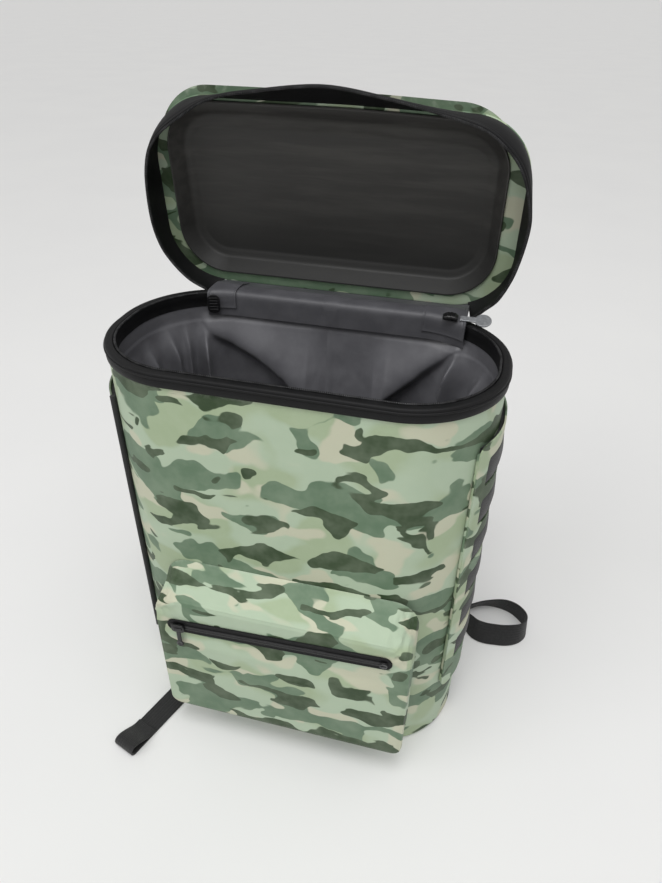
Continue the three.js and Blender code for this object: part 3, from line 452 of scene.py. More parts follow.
def newMaterial(name):
    material = bpy.data.materials.new(name)
    material.use_nodes = True
    tree = material.node_tree
    shader = tree.nodes["Principled BSDF"]
    place = addNode(tree, "ShaderNodeUVMap", uv_map="cloth").outputs["UV"]
    return material, tree, shader, place


def useGroup(tree, group, place, **values):
    node = addNode(tree, "ShaderNodeGroup", node_tree=group)
    tree.links.new(place, node.inputs["Place"])
    for name, value in values.items():
        node.inputs[name].default_value = value
    return node


def bumped(tree, shader, height, distance, strength=1.0):
    node = addNode(tree, "ShaderNodeBump", {"Distance": distance, "Strength": strength})
    tree.links.new(height, node.inputs["Height"])
    tree.links.new(node.outputs["Normal"], shader.inputs["Normal"])
    return node


# Coated camouflage cloth; the shift gives each panel its own cut of the print
def makeCamoCloth(name, shift):
    material, tree, shader, place = newMaterial(name)
    printed = useGroup(tree, camoGroup, place, Shift=shift)
    grain = useGroup(tree, grainGroup, place, Pitch=0.0011)
    wearHighlight = useGroup(tree, wearHighlightGroup, place, Amount=0.35)
    faded = mixed(tree, edged(tree, grain.outputs["Tone"], 0.3, 0.75, 0.0, 0.16), printed.outputs["Color"],
                  camoLook["faded"])
    # Lighter rubbed wear with a painted highlight on sharp edges
    rubbedAndHighlit = mixed(tree, wearHighlight.outputs["Mask"], faded, camoLook["rubbedAndHighlit"])
    tree.links.new(rubbedAndHighlit, shader.inputs["Base Color"])
    tree.links.new(edged(tree, grain.outputs["Tone"], 0.2, 0.8, 0.46, 0.6), shader.inputs["Roughness"])
    shader.inputs["Specular IOR Level"].default_value = 0.28
    bumped(tree, shader, grain.outputs["Height"], 0.00012, 0.55)
    return material


# Dark cloth or film: two tones, a grain and its own gloss
def makeDarkCloth(name, base, light, low, high, pitch, depth, sheen=0.0, wearHighlightAmount=0.3, specular=0.5):
    material, tree, shader, place = newMaterial(name)
    grain = useGroup(tree, grainGroup, place, Pitch=pitch)
    wearHighlight = useGroup(tree, wearHighlightGroup, place, Amount=wearHighlightAmount)
    color = mixed(tree, edged(tree, grain.outputs["Tone"], 0.25, 0.8), base, light)
    # Lighter rubbed wear with a painted highlight on sharp edges
    color = mixed(tree, wearHighlight.outputs["Mask"], color, darkLook["rubbedAndHighlit"])
    tree.links.new(color, shader.inputs["Base Color"])
    tree.links.new(edged(tree, grain.outputs["Tone"], 0.2, 0.8, low, high), shader.inputs["Roughness"])
    shader.inputs["Specular IOR Level"].default_value = specular
    shader.inputs["Sheen Weight"].default_value = sheen
    bumped(tree, shader, grain.outputs["Height"], depth, 0.6)
    return material


def makeWebbing(name, base, light):
    material, tree, shader, place = newMaterial(name)
    rib = useGroup(tree, ribGroup, place)
    wearHighlight = useGroup(tree, wearHighlightGroup, place, Amount=0.4)
    color = mixed(tree, rib.outputs["Height"], base, light)
    color = mixed(tree, edged(tree, rib.outputs["Tone"], 0.5, 0.8, 0.0, 0.4), color, webLook["fluff"])
    # Lighter rubbed wear with a painted highlight on sharp edges
    color = mixed(tree, wearHighlight.outputs["Mask"], color, webLook["rubbedAndHighlit"])
    tree.links.new(color, shader.inputs["Base Color"])
    tree.links.new(edged(tree, rib.outputs["Tone"], 0.2, 0.8, 0.62, 0.85), shader.inputs["Roughness"])
    shader.inputs["Sheen Weight"].default_value = 0.15
    bumped(tree, shader, rib.outputs["Height"], 0.00035, 0.8)
    return material


def makeHard(name, base, light, low, high, metallic, depth, wearHighlightAmount):
    material, tree, shader, place = newMaterial(name)
    spot = addNode(tree, "ShaderNodeTexCoord").outputs["Object"]
    cloud = cloudy(tree, spot, 420, 3.0, 0.6).outputs["Fac"]
    wearHighlight = useGroup(tree, wearHighlightGroup, spot, Amount=wearHighlightAmount)
    color = mixed(tree, edged(tree, cloud, 0.3, 0.75), base, light)
    # Lighter rubbed wear with a painted highlight on sharp edges
    color = mixed(tree, wearHighlight.outputs["Mask"], color, hardLook["rubbedAndHighlit"])
    tree.links.new(color, shader.inputs["Base Color"])
    tree.links.new(edged(tree, cloud, 0.25, 0.75, low, high), shader.inputs["Roughness"])
    shader.inputs["Metallic"].default_value = metallic
    bumped(tree, shader, cloud, depth, 0.4)
    return material


# Moulded foam skin of the lid's dish, with faint streaks along it and painted shade darkening its lower part
def makeTrayFoam(name):
    material, tree, shader, place = newMaterial(name)
    spot = addNode(tree, "ShaderNodeTexCoord").outputs["Object"]
    streak = cloudy(tree, scaled(tree, spot, (7, 70, 70)), 1.6, 4.0, 0.6, 0.3).outputs["Fac"]
    pore = cloudy(tree, spot, 1500, 2.0, 0.6).outputs["Fac"]
    color = mixed(tree, edged(tree, streak, 0.35, 0.75), trayLook["dark"], trayLook["light"])
    # Painted shade: the dish turns to the low tone towards its bottom
    split = addNode(tree, "ShaderNodeSeparateXYZ")
    tree.links.new(spot, split.inputs[0])
    color = mixed(tree, edged(tree, split.outputs[2], trayLook["paintedShadeLowZ"], trayLook["paintedShadeHighZ"]), trayLook["low"],
                  color)
    tree.links.new(color, shader.inputs["Base Color"])
    tree.links.new(edged(tree, streak, 0.3, 0.8, 0.5, 0.62), shader.inputs["Roughness"])
    shader.inputs["Specular IOR Level"].default_value = 0.45
    height = maths(tree, "ADD", maths(tree, "MULTIPLY", streak, 0.5), maths(tree, "MULTIPLY", pore, 0.5))
    bumped(tree, shader, height, 0.0002, 0.5)
    return material


shades["camoBody"] = makeCamoCloth("camoClothBody", (0.0, 0.0, 0.0))
shades["camoPocket"] = makeCamoCloth("camoClothPocket", (1.37, 0.21, 0.0))
shades["camoSide"] = makeCamoCloth("camoClothSide", (0.0, 0.0, 0.0))
shades["camoLid"] = makeCamoCloth("camoClothLid", (2.11, 0.83, 0.0))
shades["liner"] = makeDarkCloth("linerFilm", tint(92, 92, 96), tint(106, 106, 110), 0.3, 0.4, 0.0008,
                                0.00008, 0.0, 0.15)
shades["tape"] = makeDarkCloth("bindingTape", tint(15, 15, 16), tint(23, 23, 24), 0.48, 0.62, 0.0009,
                               0.00014, 0.0, 0.1, 0.22)
shades["hinge"] = makeDarkCloth("hingeCloth", tint(72, 72, 76), tint(86, 86, 90), 0.46, 0.58, 0.0008, 0.0001,
                                0.0, 0.2)
shades["tray"] = makeTrayFoam("trayFoam")
shades["teeth"] = makeHard("zipNylon", tint(14, 14, 15), tint(22, 22, 24), 0.42, 0.55, 0.0, 0.00005, 0.1)
shades["plastic"] = makeHard("blackPlastic", tint(14, 14, 15), tint(22, 22, 24), 0.32, 0.48, 0.0, 0.00006,
                             0.45)
shades["pullMetal"] = makeHard("pullMetal", tint(128, 130, 133), tint(148, 150, 153), 0.34, 0.46, 0.4,
                               0.00005, 0.4)
shades["web"] = makeWebbing("strapWebbing", tint(12, 12, 13), tint(28, 28, 29))
shades["pad"] = makeDarkCloth("padMesh", tint(24, 24, 26), tint(36, 36, 38), 0.75, 0.88, 0.0021, 0.0005, 0.2,
                              0.3, 0.3)
shades["backing"] = makeDarkCloth("backingCloth", tint(14, 14, 15), tint(24, 24, 26), 0.5, 0.66, 0.0016,
                                  0.0003, 0.08, 0.3)
print("materials ready")


# Camera at the photograph's place and lean
view = {
    "place": (144.59, -490.04, 670.92),
    "forward": (-0.19501768, 0.79714332, -0.57142859),
    "right": (0.96907757, 0.24641264, 0.01301812),
    "up": (-0.15118454, 0.55121986, 0.82054854),
    "focalPixels": 664.37,
    "longSidePixels": 883,
    "sensor": 36.0,
}


def makeCamera():
    data = bpy.data.cameras.new("photoCamera")
    data.sensor_width = view["sensor"]
    data.lens = view["sensor"] * view["focalPixels"] / view["longSidePixels"]
    data.clip_start = 0.02
    camera = bpy.data.objects.new("photoCamera", data)
    bpy.context.scene.collection.objects.link(camera)
    turn = Matrix((view["right"], view["up"], [-v for v in view["forward"]])).transposed()
    camera.matrix_world = Matrix.Translation([v * mm for v in view["place"]]) @ turn.to_4x4()
    bpy.context.scene.camera = camera


makeCamera()


# The bag's outline runs from the middle of its back, round the left end to the front
bagCount = 440


def bagPath(count=bagCount):
    radii = [bag["corner"]] * 4
    rows, total = roundedPath(bag["width"], bag["depth"], radii, count)
    return [(-x, -y, -nx, -ny, run) for x, y, nx, ny, run in rows], total


bagRows, bagAround = bagPath()
bagRuns = [row[4] for row in bagRows] + [bagAround]
backStraight = bag["width"] / 2 - bag["corner"]


def bagRing(offset, z):
    return ringAt(bagRows, offset, z)


def backFaceY(x, offset):
    past = max(0.0, abs(x) - backStraight)
    radius = bag["corner"] + offset
    return bag["depth"] / 2 - bag["corner"] + math.sqrt(max(radius * radius - past * past, 0.0))


shell = {
    "rimHeight": 12,
    "base": 8,
    "levels": 72,
    "ripple": 0.4,  # soft unevenness of the padded wall
    "footTuck": 1.2,  # the wall draws in a little above the base seam
    "tailStart": (-63, 98),
    "tailEnd": (-154, -166),
    "tailWidth": 27,
    "tailGroove": 2.2,
}
wallTop = bag["height"] - shell["rimHeight"] - seat


def overTail(x, y):
    ax, ay = shell["tailStart"]
    bx, by = shell["tailEnd"]
    length = math.hypot(bx - ax, by - ay)
    away = abs((bx - ax) * (y - ay) - (by - ay) * (x - ax)) / length
    return away < shell["tailWidth"] / 2


def makeBodyShell():
    rings, levels = [], []

    def wallRing(z):
        ring = []
        for x, y, nx, ny, run in bagRows:
            front = smooth(-ny, 0.6, 1) * (1 - smooth(abs(x), bag["width"] / 4, bag["width"] / 2))
            swell = bag["frontBulge"] * math.sin(math.pi * z / wallTop) * front
            free = math.sin(math.pi * min(z / wallTop, 1)) ** 0.5
            swell += shell["ripple"] * free * wander(nx * 1.6 + x / 160, ny * 1.6, z / 90, 3.1)
            swell -= shell["footTuck"] * math.exp(-((z - 12) / 6) ** 2)
            ring.append((x + nx * swell, y + ny * swell, z))
        return ring

    for inset in (76, 58, 40, 22, 12):
        rings.append(bagRing(-inset, 0))
        levels.append(-inset)
    for turn in (0, 15, 30, 45, 60, 75):
        angle = math.radians(turn)
        rings.append(bagRing(-bag["baseEdge"] * (1 - math.sin(angle)),
                             bag["baseEdge"] * (1 - math.cos(angle))))
        levels.append(bag["baseEdge"] * angle - 4)
    for t in steps(shell["levels"]):
        z = share(bag["baseEdge"], wallTop, t)
        rings.append(wallRing(z))
        levels.append(z)
    for offset, z in ((-bag["wall"], wallTop), (-bag["wall"], 200), (-bag["wall"], shell["base"])):
        rings.append(bagRing(offset, z))
        levels.append(levels[-1] + 8)
    rings = [[(x, y, max(z, shell["tailGroove"]) if overTail(x, y) and z < 5 else z) for x, y, z in ring]
             for ring in rings]
    part = loft(rings, runs=bagRuns, levels=levels + [levels[-1]])
    makePiece("bodyShell", part, shades["camoBody"], replaces=["body_shell"])


makeBodyShell()
print("body shell ready")


# Band round the mouth with a round bead near its top, and the tape and teeth inside it
rim = {"low": 408, "bead": 1.1, "beadZ": 416.2, "tapeHeight": 14, "tapeThick": 1.2, "right": 127,
       "left": -117}
teeth = {"pitch": 1.6, "long": 0.95, "wide": 1.8, "high": 1.4, "footHigh": 0.45}


def beadSection(offset, z, radius, cuts=6):
    return [(offset + radius * math.sin(math.radians(a)), z - radius * math.cos(math.radians(a)))
            for a in [180 * i / cuts for i in range(cuts + 1)]]


def makeRimBand():
    proud, wall, top = rimProud, -bag["wall"], bag["height"]
    section = [(wall, rim["low"]), (proud - 0.6, rim["low"]), (proud, rim["low"] + 0.6),
               (proud + 0.15, 411.5),
               (proud, 414.4)]
    section += beadSection(proud - 0.25, rim["beadZ"], rim["bead"])
    section += [(proud - 0.1, 418), (proud - 0.5, 419.2), (proud - 1.4, 419.9), (-1.5, top), (-3.2, 419.7),
                (-4.8, top),
                (wall + 0.4, 419.5), (wall, 418.6)]
    rings = [bagRing(o, z) for o, z in section]
    part = loft(rings, around=True, runs=bagRuns)
    makePiece("rimBand", part, shades["tape"], replaces=["rim_band"], sharp=50)


# Outline rows inside the mouth, from the right end of the hinge round the front to its left end
def mouthRows(offset, clearance, count):
    rows, _ = bagPath(count)
    moved = [(x + nx * offset, y + ny * offset, nx, ny) for x, y, nx, ny, run in rows]
    return [r for r in moved if r[3] <= 0 or r[0] > rim["right"] + clearance
            or r[0] < rim["left"] - clearance]


def makeRimTape():
    rows = mouthRows(-(bag["wall"] + seat), 1, bagCount)
    low, high = bag["height"] - rim["tapeHeight"], bag["height"] - 1.2
    section = [(0, low), (0, high), (-0.6, high + 0.15), (-rim["tapeThick"], high),
               (-rim["tapeThick"] - 0.3, high - 4.4),
               (-rim["tapeThick"], high - 5.2), (-rim["tapeThick"], low)]
    rings = [[(x + nx * o, y + ny * o, z) for o, z in section] for x, y, nx, ny in rows]
    makePiece("rimTape", loft(rings), shades["tape"], replaces=["rim_zip_tape"])


# One small tooth standing on a path, with a chamfered crown
def toothPart(place, along, out, up, size):
    long, wide, high = size
    corners = []
    for grow, rise in ((1.0, 0.0), (1.0, 0.62), (0.6, 1.0)):
        for u, v in ((-1, -1), (1, -1), (1, 1), (-1, 1)):
            corners.append(tuple(
                p + a * u * long / 2 * grow + o * v * wide / 2 * (grow
                                                            + 0.15 * (1 - rise)) + k * high * rise
                for p, a, o, k in zip(place, along, out, up)))
    faces, cloth = [], []
    for level in (0, 4):
        for k in range(4):
            faces.append((level + k, level + (k + 1) % 4, level + 4 + (k + 1) % 4, level + 4 + k))
    faces += [(3, 2, 1, 0), (8, 9, 10, 11)]
    for face in faces:
        cloth.append(tuple((corners[k][0], corners[k][1]) for k in face))
    return corners, faces, cloth


# Points at an even pitch along an open route of (place, out) rows
def evenly(rows, pitch):
    found, left = [], pitch / 2
    for (p, po), (q, qo) in zip(rows, rows[1:]):
        length = math.dist(p, q)
        while left <= length:
            t = left / length
            along = Vector(q) - Vector(p)
            found.append((blendRow(p, q, t), tuple(along.normalized()), blendRow(po, qo, t)))
            left += pitch
        left -= length
    return found


def makeRimTeeth():
    offset = -(bag["wall"] + seat) - teeth["wide"] / 2
    low = bag["height"] - 1.2 + seat
    rows = mouthRows(offset, 10, 1200)
    route = [((x, y, low + teeth["footHigh"]), (nx, ny, 0.0)) for x, y, nx, ny in rows]
    size = (teeth["long"], teeth["wide"], teeth["high"] - teeth["footHigh"])
    parts = [toothPart(place, along, out, (0, 0, 1), size) for place, along,
             out in evenly(route, teeth["pitch"])]
    half = teeth["wide"] / 2
    section = [(half, low), (half, low + teeth["footHigh"]), (-half, low + teeth["footHigh"]), (-half, low)]
    foot = loft([[(x + nx * o, y + ny * o, z) for o, z in section] for x, y, nx,
                 ny in rows[::3] + [rows[-1]]])
    makePiece("rimTeeth", joined([foot] + parts), shades["teeth"], replaces=["rim_zip_teeth"])


makeRimBand()
makeRimTape()
makeRimTeeth()
print("rim and its teeth ready")


# Liner film with its folds. Place and width are shares of the outline, drift is how far the fold
# has moved when it is a quarter of the way down
liner = {
    "thick": 1.5,
    "foldDepth": 26,
    "floorGap": 6,
    "count": 640,
    "levels": 120,
    "crinkle": 1.1,
    "folds": [
        {"place": 0.1, "width": 0.03, "depth": 9, "drift": -0.01, "start": 0.09},
        {"place": 0.2, "width": 0.012, "depth": 10, "drift": -0.01, "start": 0.05},
        {"place": 0.236, "width": 0.008, "depth": 13, "drift": -0.006, "start": 0.035},
        {"place": 0.268, "width": 0.007, "depth": 12, "drift": 0.006, "start": 0.03},
        {"place": 0.3, "width": 0.008, "depth": 15, "drift": 0.012, "start": 0.03},
        {"place": 0.346, "width": 0.0075, "depth": 22, "drift": 0.01, "start": 0.012},
        {"place": 0.646, "width": 0.007, "depth": 21, "drift": 0.0, "start": 0.03},
        {"place": 0.668, "width": 0.006, "depth": 11, "drift": 0.004, "start": 0.02},
        {"place": 0.695, "width": 0.009, "depth": 17, "drift": -0.004, "start": 0.02},
        {"place": 0.728, "width": 0.008, "depth": 12, "drift": -0.004, "start": 0.04},
        {"place": 0.76, "width": 0.01, "depth": 14, "drift": 0.0, "start": 0.05},
        {"place": 0.81, "width": 0.014, "depth": 10, "drift": 0.0, "start": 0.06},
        {"place": 0.9, "width": 0.03, "depth": 9, "drift": -0.01, "start": 0.09},
    ],
    # Lower border of the part that hangs forward from the back wall: place, down
    "border": [
        (0.34, 0.02), (0.355, 0.035), (0.39, 0.095), (0.431, 0.18), (0.446, 0.3), (0.46, 0.6), (0.49, 0.6),
        (0.505, 0.38), (0.52, 0.23), (0.547, 0.165), (0.58, 0.115), (0.61, 0.085), (0.65, 0.055),
    ],
    "hang": 19,
    "weldDown": 0.035,
    "seamX": 3.5,
}


def borderDown(place):
    rows = liner["border"]
    for a, b in zip(rows, rows[1:]):
        if a[0] <= place <= b[0]:
            return share(a[1], b[1], (place - a[0]) / (b[0] - a[0]))
    return 0.03


def foldDepth(place, down):
    edge = borderDown(place)
    inside = smooth(place, 0.338, 0.352) * (1 - smooth(place, 0.64, 0.652))
    reach = liner["hang"] * share(0.3, 1, smooth(edge, 0.03, 0.22))
    hang = reach * smooth(down, 0.01, max(0.03, edge * 0.95)) * (1 - 0.88 * smooth(down, edge, edge + 0.03))
    depth = hang * inside
    for fold in liner["folds"]:
        centre = fold["place"] + fold["drift"] * (1 - math.exp(-down / 0.16)) * 1.25
        away = abs(place - centre)
        away = min(away, 1 - away) / fold["width"]
        crest = math.exp(-(math.sqrt(away * away + 0.12) - 0.35))
        rise = smooth(down, fold["start"], fold["start"] + 0.1) * (1 - 0.6 * smooth(down, 0.5, 1))
        depth = max(depth, depth * 0.5 + fold["depth"] * rise * crest)
    return depth


def makeLiner():
    rows, total = bagPath(liner["count"])
    runs = [row[4] for row in rows] + [total]
    top = bag["height"] - rim["tapeHeight"] - seat
    floor = shell["base"] + seat

    def ring(inset, down):
        z = share(top, floor + liner["floorGap"], down)
        found = []
        for x, y, nx, ny, run in rows:
            place = (run / total + 0.5) % 1.0
            loose = smooth(down, 0.05, 0.16)
            fold = foldDepth(place, down)
            crease = abs(wander(place * 46, down * 7, 0, 5.3)) + 0.5 * abs(wander(place * 90, down * 16, 0,
                                                            1.7))
            fold += liner["crinkle"] * loose * (0.9 - 1.6 * crease)
            seam = place - (0.5 - liner["seamX"] / total)
            fold += 0.5 * math.exp(-(seam * total / 0.8) ** 2) * smooth(down, 0, 0.02)
            weld = 0.7 * (1 - smooth(down, liner["weldDown"] - 0.002,
                                     liner["weldDown"] + 0.002)) if inset else 0
            offset = -(bag["wall"] + seat + inset) - max(fold, 0.0) + weld
            found.append((x + nx * offset, y + ny * offset, z))
        return found

    rings, levels = [], []
    low = bag["wall"] + liner["floorGap"]
    for inset in (74, 50, 26):
        rings.append([(x - nx * inset, y - ny * inset, floor) for x, y, nx, ny, run in rows])
        levels.append(-inset)
    rings.append([(x - nx * low, y - ny * low, floor) for x, y, nx, ny, run in rows])
    levels.append(-low)
    downs = [t ** 1.6 for t in steps(liner["levels"])]
    for down in reversed(downs):
        rings.append(ring(0, down))
        levels.append(top * (1 - down))
    for down in downs:
        rings.append(ring(liner["thick"], down))
        levels.append(top * (1 + down))
    for inset in (low + liner["thick"], 30, 50, 66, 76):
        lift = [0.8 * wander(x / 40, y / 40, inset / 40, 2.2) for x, y, nx, ny, run in rows]
        rings.append([(x - nx * inset, y - ny * inset, floor + liner["thick"] + max(h, 0))
                      for (x, y, nx, ny, run), h in zip(rows, lift)])
        levels.append(levels[-1] + 20)
    part = loft(rings, runs=runs, levels=levels + [levels[-1]])
    makePiece("linerFilm", part, shades["liner"], replaces=["liner"], sharp=60)


makeLiner()
print("liner ready")


# Lid, in its own frame: x across, y up the lid, z toward the viewer
lid = {
    "width": 339, "height": 174, "lower": 55, "upperLeft": 60, "upperRight": 52, "drop": 4, "shiftX": -4.5,
    "thick": 3, "count": 420, "edgeRound": 1.2,
}
tray = {
    "width": 308, "height": 160, "corner": 45, "shiftX": -6, "rise": 13, "depth": 18, "draft": 14, "fillet": 2.5,
    "thick": 1.6, "lip": 1.2, "upperDraft": 0.4,
}


# Hinge cloth from inside the back wall, over the rim, to the lid's foot
hinge = {
    "left": -118,
    "right": 130,
    "thick": 1.4,
    "flapDepth": 22,
    "flapOffset": -9.3,
    "rise": 0.4,
    "seam": 3.5,
    "seamHalf": 7.5,
    "columns": 150,
    "cuts": 6,
    "ripple": 0.7,
    "patchThick": 1,
    "patchLeft": 27,
    "patchRight": 40,
    "patchInset": 0.5,
}
lidPlane = {"y": 120.5, "z": 412, "lean": 5.7, "bottomRise": 3}


# Rise of the lid's foot where its lower corners begin to turn up
def lidFootRise(x):
    past = max(0.0, abs(x - lid["shiftX"]) - (lid["width"] / 2 - lid["lower"]))
    return lid["lower"] - math.sqrt(max(lid["lower"] ** 2 - past * past, 0.0))


def hingeSection(x, lift):
    rimTop = bag["height"] + seat
    foot = lidPlane["z"] + lidPlane["bottomRise"]
    rows = [
        (backFaceY(x, hinge["flapOffset"] - lift), bag["height"] - hinge["flapDepth"]),
        (backFaceY(x, hinge["flapOffset"] - lift), rimTop + hinge["rise"] + lift),
        (backFaceY(x, rimProud), rimTop + hinge["rise"] + lift),
        (bag["depth"] / 2 + rimProud + 8, rimTop + lift),
        (lidPlane["y"] - 12, foot + 1.0 + lift),
        (lidPlane["y"] + 3.4, foot - hinge["thick"] - seat + lidFootRise(x) + lift),
    ]
    dense = softened(rows, 7.0, hinge["cuts"])
    found = [dense[0]]
    for k, (a, b) in enumerate(zip(dense, dense[1:])):
        count = 7 if k == 0 else 3 if k % (hinge["cuts"] + 1) == 0 else 1
        found += [blendRow(a, b, (i + 1) / count) for i in range(count)]
    return found


def makeHingePanel():
    grid, low = [], []
    for t in steps(hinge["columns"]):
        x = share(hinge["left"], hinge["right"], t)
        seamAway = abs(abs(x - hinge["seam"]) - hinge["seamHalf"])
        seamStep = 0.35 * smooth(hinge["seamHalf"] + 0.8 - abs(x - hinge["seam"]), 0, 1.6)
        row, rowLow = [], []
        over, under = hingeSection(x, hinge["thick"]), hingeSection(x, 0.0)
        for k, (y, z) in enumerate(over):
            free = smooth(y, 84, 96) * (1 - smooth(y, 112, 118))
            wave = hinge["ripple"] * free * wander(x / 26, y / 18, 0, 4.4)
            stitch = -0.3 * math.exp(-(seamAway / 0.5) ** 2)
            flap = 1 if k < hinge["cuts"] + 2 else 0
            rise = seamStep + stitch + wave
            row.append((x, y - flap * (seamStep + stitch), z + (0 if flap else rise)))
            rowLow.append((x, under[k][0], under[k][1] + (0 if flap else wave)))
        grid.append(row)
        low.append(rowLow)
    rings = [top + list(reversed(bottom)) for top, bottom in zip(grid, low)]
    points, faces, cloth = loft(rings, caps=False)
    count = len(grid[0])
    for base in (0, (len(rings) - 1) * 2 * count):
        for k in range(count - 1):
            faces.append((base + k, base + k + 1, base + 2 * count - 2 - k, base + 2 * count - 1 - k))
            cloth.append(((0, k), (0, k + 1), (1, k + 1), (1, k)))
    makePiece("hingePanel", (points, faces, cloth), shades["hinge"],
              replaces=["hinge_panel"], sharp=55)


# Reinforcing layer over an end of the hinge cloth, with one groove round it where it is stitched
def makeHingePatch(name, fromX, toX, node):
    rings = []
    for t in steps(60):
        x = share(fromX, toX, t)
        over = hingeSection(x, hinge["thick"] + seat + hinge["patchThick"])
        under = hingeSection(x, hinge["thick"] + seat)
        first, last = 3, len(over) - 3
        low = under[first:last]
        high = []
        for k in range(first, last):
            edge = min(t * (toX - fromX), (1 - t) * (toX - fromX), (k - first) * 1.6, (last - 1 - k) * 2.0)
            groove = 0.45 * math.exp(-((edge - 2.0) / 0.55) ** 2)
            high.append(blendRow(over[k], under[k], groove))
        rings.append([(x, y, z) for y, z in high] + [(x, y, z) for y, z in reversed(low)])
    makePiece(name, loft(rings), shades["hinge"], replaces=[node], sharp=55)


makeHingePanel()
makeHingePatch("hingePatchLeft", hinge["left"] + hinge["patchInset"], hinge["left"] + hinge["patchLeft"],
               "hinge_patch_left")
makeHingePatch("hingePatchRight", hinge["right"] - hinge["patchRight"], hinge["right"] - hinge["patchInset"],
               "hinge_patch_right")
print("hinge ready")


def toWorld(p):
    lean = math.radians(90 + lidPlane["lean"])
    x, y, z = p
    return (x, lidPlane["y"] + y * math.cos(lean) - z * math.sin(lean),
            lidPlane["z"] + y * math.sin(lean) + z * math.cos(lean))


def droppedPath(width, height, radii, count):
    rows, total = roundedPath(width, height, radii, count)
    found = []
    for x, y, nx, ny, run in rows:
        drop = lid["drop"] * smooth(x, 0, width / 2) * max(0.0, 2 * y / height)
        found.append((x, y - drop, nx, ny, run))
    return found, total


lidRadii = [lid["lower"], lid["upperRight"], lid["upperLeft"], lid["lower"]]
lidRows, lidAround = droppedPath(lid["width"], lid["height"], lidRadii, lid["count"])
trayRows, _ = droppedPath(tray["width"], tray["height"], [tray["corner"]] * 4, lid["count"])
lidRuns = [row[4] for row in lidRows] + [lidAround]
lidMiddle = lidPlane["bottomRise"] + lid["height"] / 2
trayMiddle = tray["rise"] + tray["height"] / 2


def lidRing(offset, z):
    return [toWorld((lid["shiftX"] + x + nx * offset, lidMiddle + y + ny * offset, z)) for x, y, nx, ny,
            run in lidRows]


def trayRing(offset, z):
    rows = [(x, y + ny * offset * tray["upperDraft"] * max(ny, 0), nx, ny, run) for x, y, nx, ny,
            run in trayRows]
    shift = offset
    if offset < -24:
        high = tray["height"] + offset * (2 + tray["upperDraft"])
        rows, _ = droppedPath(tray["width"] + 2 * offset, high, [max(tray["corner"] + offset, 8)] * 4,
                              lid["count"])
        rows = [(x, y + offset * tray["upperDraft"] / 2, nx, ny, run) for x, y, nx, ny, run in rows]
        shift = 0
    return [toWorld((tray["shiftX"] + x + nx * shift, trayMiddle + y + ny * shift, z)) for x, y, nx, ny,
            run in rows]


def trayProfile(outward):
    return [
        (outward, 0),
        (outward - tray["draft"] * 0.6, -(tray["depth"] - tray["fillet"])),
        (outward - tray["draft"], -tray["depth"] + 1),
        (outward - tray["draft"] - tray["fillet"], -tray["depth"]),
    ]


def makeLidShell():
    back = softened([(lid["thick"] + 10, 0)] + trayProfile(lid["thick"])
                    + [(-34, -tray["depth"]), (-60, -tray["depth"])], 5, 5)[1:]
    outer = [trayRing(o, z - lid["thick"]) for o, z in reversed(back)]
    edge = [lidRing(o, z) for o, z in softened(
        [(-3, -lid["thick"]), (0, -lid["thick"]), (0, 0), (-3, 0)], lid["edgeRound"], 4)]
    face = [trayRing(o, z) for o, z in trayProfile(0)]
    rings = outer + edge + face
    levels = [0.0]
    for a, b in zip(rings, rings[1:]):
        levels.append(levels[-1] + math.dist(a[0], b[0]))
    points, faces, cloth = loft(rings, runs=lidRuns, levels=levels + [levels[-1]])
    cloth = [tuple((points[k][0], points[k][2] - 1.2 * (points[k][1] - lidPlane["y"])) for k in face)
             for face in faces]
    makePiece("lidShell", (points, faces, cloth), shades["camoLid"], replaces=["lid_shell"],
              sharp=45)


def makeTray():
    outer = [trayRing(o - seat, z + seat) for o, z in reversed(trayProfile(0))]
    lipRow = [(0, tray["lip"] - 0.5), (0, tray["lip"]), (-0.7, tray["lip"] + 0.7),
              (-tray["thick"], tray["lip"] + 0.6)]
    profile = [(-tray["thick"], tray["lip"] + 0.6)]
    profile += [(o - tray["thick"], z + tray["thick"]) for o, z in trayProfile(0)][1:]
    profile += [(o, tray["thick"] - tray["depth"]) for o in (-30, -42, -54, -60)]
    inner = [trayRing(o - seat, z + seat) for o, z in softened(profile, 2.2, 4)]
    rings = outer + [trayRing(o - seat, z + seat) for o, z in lipRow[:-1]] + inner
    makePiece("lidTray", loft(rings), shades["tray"], replaces=["lid_tray"], sharp=50)


# Free edge of the zip band, in the lid's frame, counter-clockwise from the lower right
band = {
    "reach": 26, "thick": 1.8, "belly": 2.0, "inset": 0.5, "bead": 1.3, "centre": (-3, 96),
    "free": [
        (128, 1), (136, 5.5), (144.6, 14.2), (156, 27.4), (166, 55), (171, 90.7), (168.4, 112.9), (159,
                                                            138.8), (144, 157), (123, 170.6),
        (88, 180), (47, 188.4), (-6, 195), (-66, 188.6), (-97, 183), (-121, 173), (-158, 148), (-173, 120),
        (-177.4, 78), (-173.3, 48.5), (-162.8, 28.8), (-147.6, 12.6), (-131, 3.6),
    ],
}


def freeRadii():
    cx, cy = band["centre"]
    dense = throughRows(band["free"], 12)
    return sorted((math.atan2(y - cy, x - cx) % (2 * math.pi), math.hypot(x - cx, y - cy)) for x,
                  y in dense)


bandRadii = freeRadii()


def freePlace(x, y):
    cx, cy = band["centre"]
    angle = math.atan2(y - cy, x - cx) % (2 * math.pi)
    radius = None
    for before, after in zip(bandRadii, bandRadii[1:]):
        if before[0] <= angle <= after[0]:
            t = (angle - before[0]) / max(after[0] - before[0], 1e-9)
            radius = share(before[1], after[1], t)
            break
    if radius is None:
        radius = bandRadii[0][1] if angle < bandRadii[0][0] else bandRadii[-1][1]
    return cx + radius * math.cos(angle), cy + radius * math.sin(angle)


